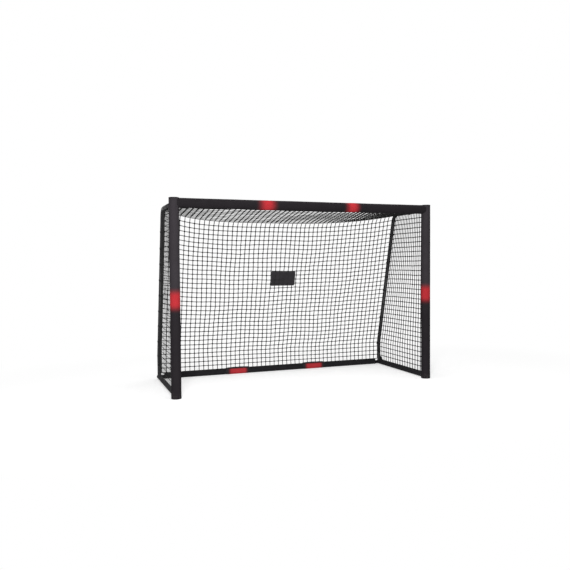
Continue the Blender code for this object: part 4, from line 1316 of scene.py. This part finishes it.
def net_straps(mat):
    for side, name in SIDES:
        bm = bmesh.new()
        inward = X * -side
        for i in range(5):
            z = 0.22 + 0.285 * i
            centre = Vector((side * POST_X, frame_line_y(z), z))
            strap(bm, centre, frame_way(z), inward)
            if i < 4:
                z += 0.14
                centre = Vector((side * POST_X, frame_line_y(z), z))
                way = frame_way(z)
                strap(bm, centre, way, X.cross(way))
        for i in range(3):
            centre = Vector((side * POST_X, -0.30 + 0.15 * i, CROSSBAR_Z))
            strap(bm, centre, Y, -Z if i % 2 else inward)
        face_out(bm)
        obj = piece("net_straps_" + name, bm, mat,
                    smooth=60)
        add_wall(obj, 0.0011, 0.0)


def tab_outline():
    """Flat on the pad, up round the edge cord and flat on the pad again."""
    centre, over = EDGE_CORD_R + 0.001, EDGE_CORD_R + 0.0008
    points = []
    for step in range(9):
        x = -0.017 + 0.012 * step / 8
        points.append(Vector((x, 0.0012 - x * x / (2 * PAD_R))))
    for step in range(13):
        angle = pi + radians(20) - (pi + radians(40)) * step / 12
        points.append(Vector((over * cos(angle), centre + over * sin(angle))))
    return points + [Vector((-point.x, point.y)) for point in reversed(points[:9])]


def cover_tabs(mat, thread):
    """Webbing tabs sewn to the back of the pads, which hold the net's edge cords."""
    outline = tab_outline()
    back = POST_Y + PAD_R
    places = []
    for side, name in SIDES:
        places.append(("tabs_" + name, [Vector((side * POST_X, back, 0.16 + 0.15 * i))
                                        for i in range(9)], Z))
    places.append(("tabs_crossbar", [Vector((-1.02 + 0.17 * i, back, CROSSBAR_Z))
                                     for i in range(13)], X))
    for name, spots, along in places:
        bm = bmesh.new()
        sewn = []
        across = Y.cross(along)
        for spot in spots:
            band(bm, outline, spot, along, along.cross(Y), 0.018)
            for face in (-1, 1):
                middle = spot + across * face * 0.0125 + Y * (0.0022 - 0.0125 ** 2 / 2 / PAD_R)
                sewn.append((line(middle - along * 0.007, middle + along * 0.007), 0.014))
        face_out(bm)
        obj = piece("cover_" + name, bm, mat, smooth=60)
        add_wall(obj, 0.0010, 0.0)
        stitching("stitches_" + name, sewn, thread)


def sliced(bm, axes, step, reach):
    """Cut flat cloth into a fine grid, so that it can wave."""
    for axis in axes:
        count = int(reach / step)
        for i in range(-count, count + 1):
            bmesh.ops.bisect_plane(bm, geom=bm.verts[:] + bm.edges[:] + bm.faces[:],
                                   plane_co=axis * i * step, plane_no=axis)


def corner_gusset(side, name, mat, thread):
    """A triangle of cloth that strengthens the side net in its lower rear corner."""
    long, tall = 0.075, 0.055
    corner = Vector((side * POST_X, STAY_FOOT_Y - BACK_R - 0.001, SLEEVE_TOP_SIDE - 0.004))
    bm = bmesh.new()
    bmesh.ops.create_grid(bm, x_segments=10, y_segments=8, size=0.5)
    bmesh.ops.scale(bm, vec=(long, tall, 1), verts=bm.verts)
    bmesh.ops.translate(bm, vec=(long / 2, tall / 2, 0), verts=bm.verts)
    bmesh.ops.bisect_plane(bm, geom=bm.verts[:] + bm.edges[:] + bm.faces[:], dist=1e-5,
                           plane_co=(long, 0, 0), plane_no=(tall, long, 0), clear_outer=True)
    flat_uv(bm, X, Y)
    turn = Matrix((-Y, Z, X)).transposed().to_4x4()
    bm.transform(Matrix.Translation(corner) @ turn)
    for vert in bm.verts:
        vert.co.x += 0.0012 * wrinkle(vert.co, (0.03, 0.03, 0.03), 60 + side)
    obj = piece("corner_gusset_" + name, bm, mat)
    add_wall(obj, 0.0022, 0.0)
    start = corner + Vector((0, -0.004, tall - 0.012))
    end = corner + Vector((0, -long + 0.014, 0.005))
    routes = [(line(start + X * face * 0.0014, end + X * face * 0.0014), (end - start).length)
              for face in (-1, 1)]
    stitching("gusset_seams_" + name, routes, thread)


def rounded_outline(half_w, half_h, corner):
    """A closed route round a rectangle with rounded corners, and its length."""
    points = []
    for quarter, (sx, sy) in enumerate(((1, 1), (-1, 1), (-1, -1), (1, -1))):
        for step in range(7):
            angle = pi / 2 * (quarter + step / 6)
            points.append(Vector((sx * (half_w - corner) + corner * cos(angle),
                                  sy * (half_h - corner) + corner * sin(angle), 0)))
    return paced(points + points[:1])


def net_patch(mat, thread):
    """A plain patch with a folded hem, sewn to the front of the back net."""
    size, height, hem = (0.25, 0.145), 0.93, 0.008
    bm = bmesh.new()
    bmesh.ops.create_grid(bm, x_segments=1, y_segments=1, size=0.5)
    bmesh.ops.scale(bm, vec=(*size, 1), verts=bm.verts)
    bmesh.ops.bevel(bm, geom=bm.verts[:], offset=0.012, segments=5, profile=0.5,
                    affect="VERTICES", material=-1)
    inside = bm.faces[:]
    bmesh.ops.inset_region(bm, faces=inside, thickness=hem, depth=0.0, use_even_offset=True)
    bmesh.ops.inset_region(bm, faces=inside, thickness=0.0008, depth=0.0,
                           use_even_offset=True)
    bmesh.ops.translate(bm, vec=-Z * 0.0006, verts=list({v for f in inside for v in f.verts}))
    sliced(bm, (X, Y), 0.008, 0.13)
    flat_uv(bm, X, Y)
    for vert in bm.verts:
        vert.co.z += 0.0007 * wrinkle(vert.co, (0.05, 0.05, 0.05), 70)
    lift = CORD_R + 0.0012
    middle = Vector((0.015, frame_line_y(height), height)) - STAY_BACK * lift
    place = axes_matrix(middle, -STAY_BACK, X)
    bm.transform(place)
    face_out(bm)
    if sum((face.normal.y for face in bm.faces)) > 0:
        bmesh.ops.reverse_faces(bm, faces=bm.faces)
    obj = piece("sewn_patch", bm, mat, ["net_patch"],
                smooth=60)
    add_wall(obj, 0.0012)
    routes = []
    for inset in (0.0035, 0.0065):
        route, length = rounded_outline(size[0] / 2 - inset, size[1] / 2 - inset,
                                        0.012 - inset)
        routes.append((lambda t, route=route: place @ (route(t) + Z * 0.0003), length))
    stitching("patch_seams", routes, thread)


def build():
    set_camera()
    set_studio()
    steel = powder_coat()
    metal = zinc()
    plastic = black_plastic()
    foam_mat = foam()
    cloth = sleeve_cloth()
    cuff_mat = cuff_cloth()
    cord = cord_yarn("net_yarn", 0.02)
    edge_cord = cord_yarn("edge_cord_yarn", 0.014)
    strap_mat = webbing()
    patch = patch_cloth()
    dark_thread = sewing_thread("black_thread", 0.022)
    grey_thread = sewing_thread("grey_thread", 0.20)
    post_mat = pad_cover("black_cover_posts", 2, ((0.788, 0.030, 0.116),), 0.036)
    # Painted shade: the crossbar's copy of the same cover has a darker tone than the posts',
    # standing for the shade on the crossbar
    shaded_bar_mat = pad_cover("black_cover_crossbar_shaded", 0, ((-0.385, 0.008, 0.118),
                                                    (0.40, 0.010, 0.100)), 0.017)
    slots = {entry["node"]: entry["material_slot"] for entry in frame["record"]["subparts"]}
    finish = {"black_powder_coat": steel, "zinc_button": metal, "black_plastic": plastic,
              "grey_foam": foam_mat, "black_cover": post_mat, "black_sleeve": cloth,
              "red_cuff": cuff_mat, "net_cord": cord, "patch_textile": patch}
    for node, obj in frame["nodes"].items():
        obj.data.materials.clear()
        mat = shaded_bar_mat if node == "crossbar_cover" else finish[slots[node]]
        obj.data.materials.append(mat)
    back_tubes(steel)
    snap_buttons(metal)
    foams(foam_mat)
    for side, name in SIDES:
        end_cap(side, name, plastic)
        post_foot(side, name, plastic)
        post_cover(side, name, post_mat, dark_thread)
        post_cap(side, name, post_mat, edge_cord)
        corner_gusset(side, name, cloth, dark_thread)
        red_cuff(side, name, cuff_mat, dark_thread)
    crossbar_cover(shaded_bar_mat, dark_thread)
    ground_sleeves(cloth, dark_thread)
    nets(cord, edge_cord)
    net_straps(strap_mat)
    cover_tabs(strap_mat, dark_thread)
    net_patch(patch, grey_thread)


build()
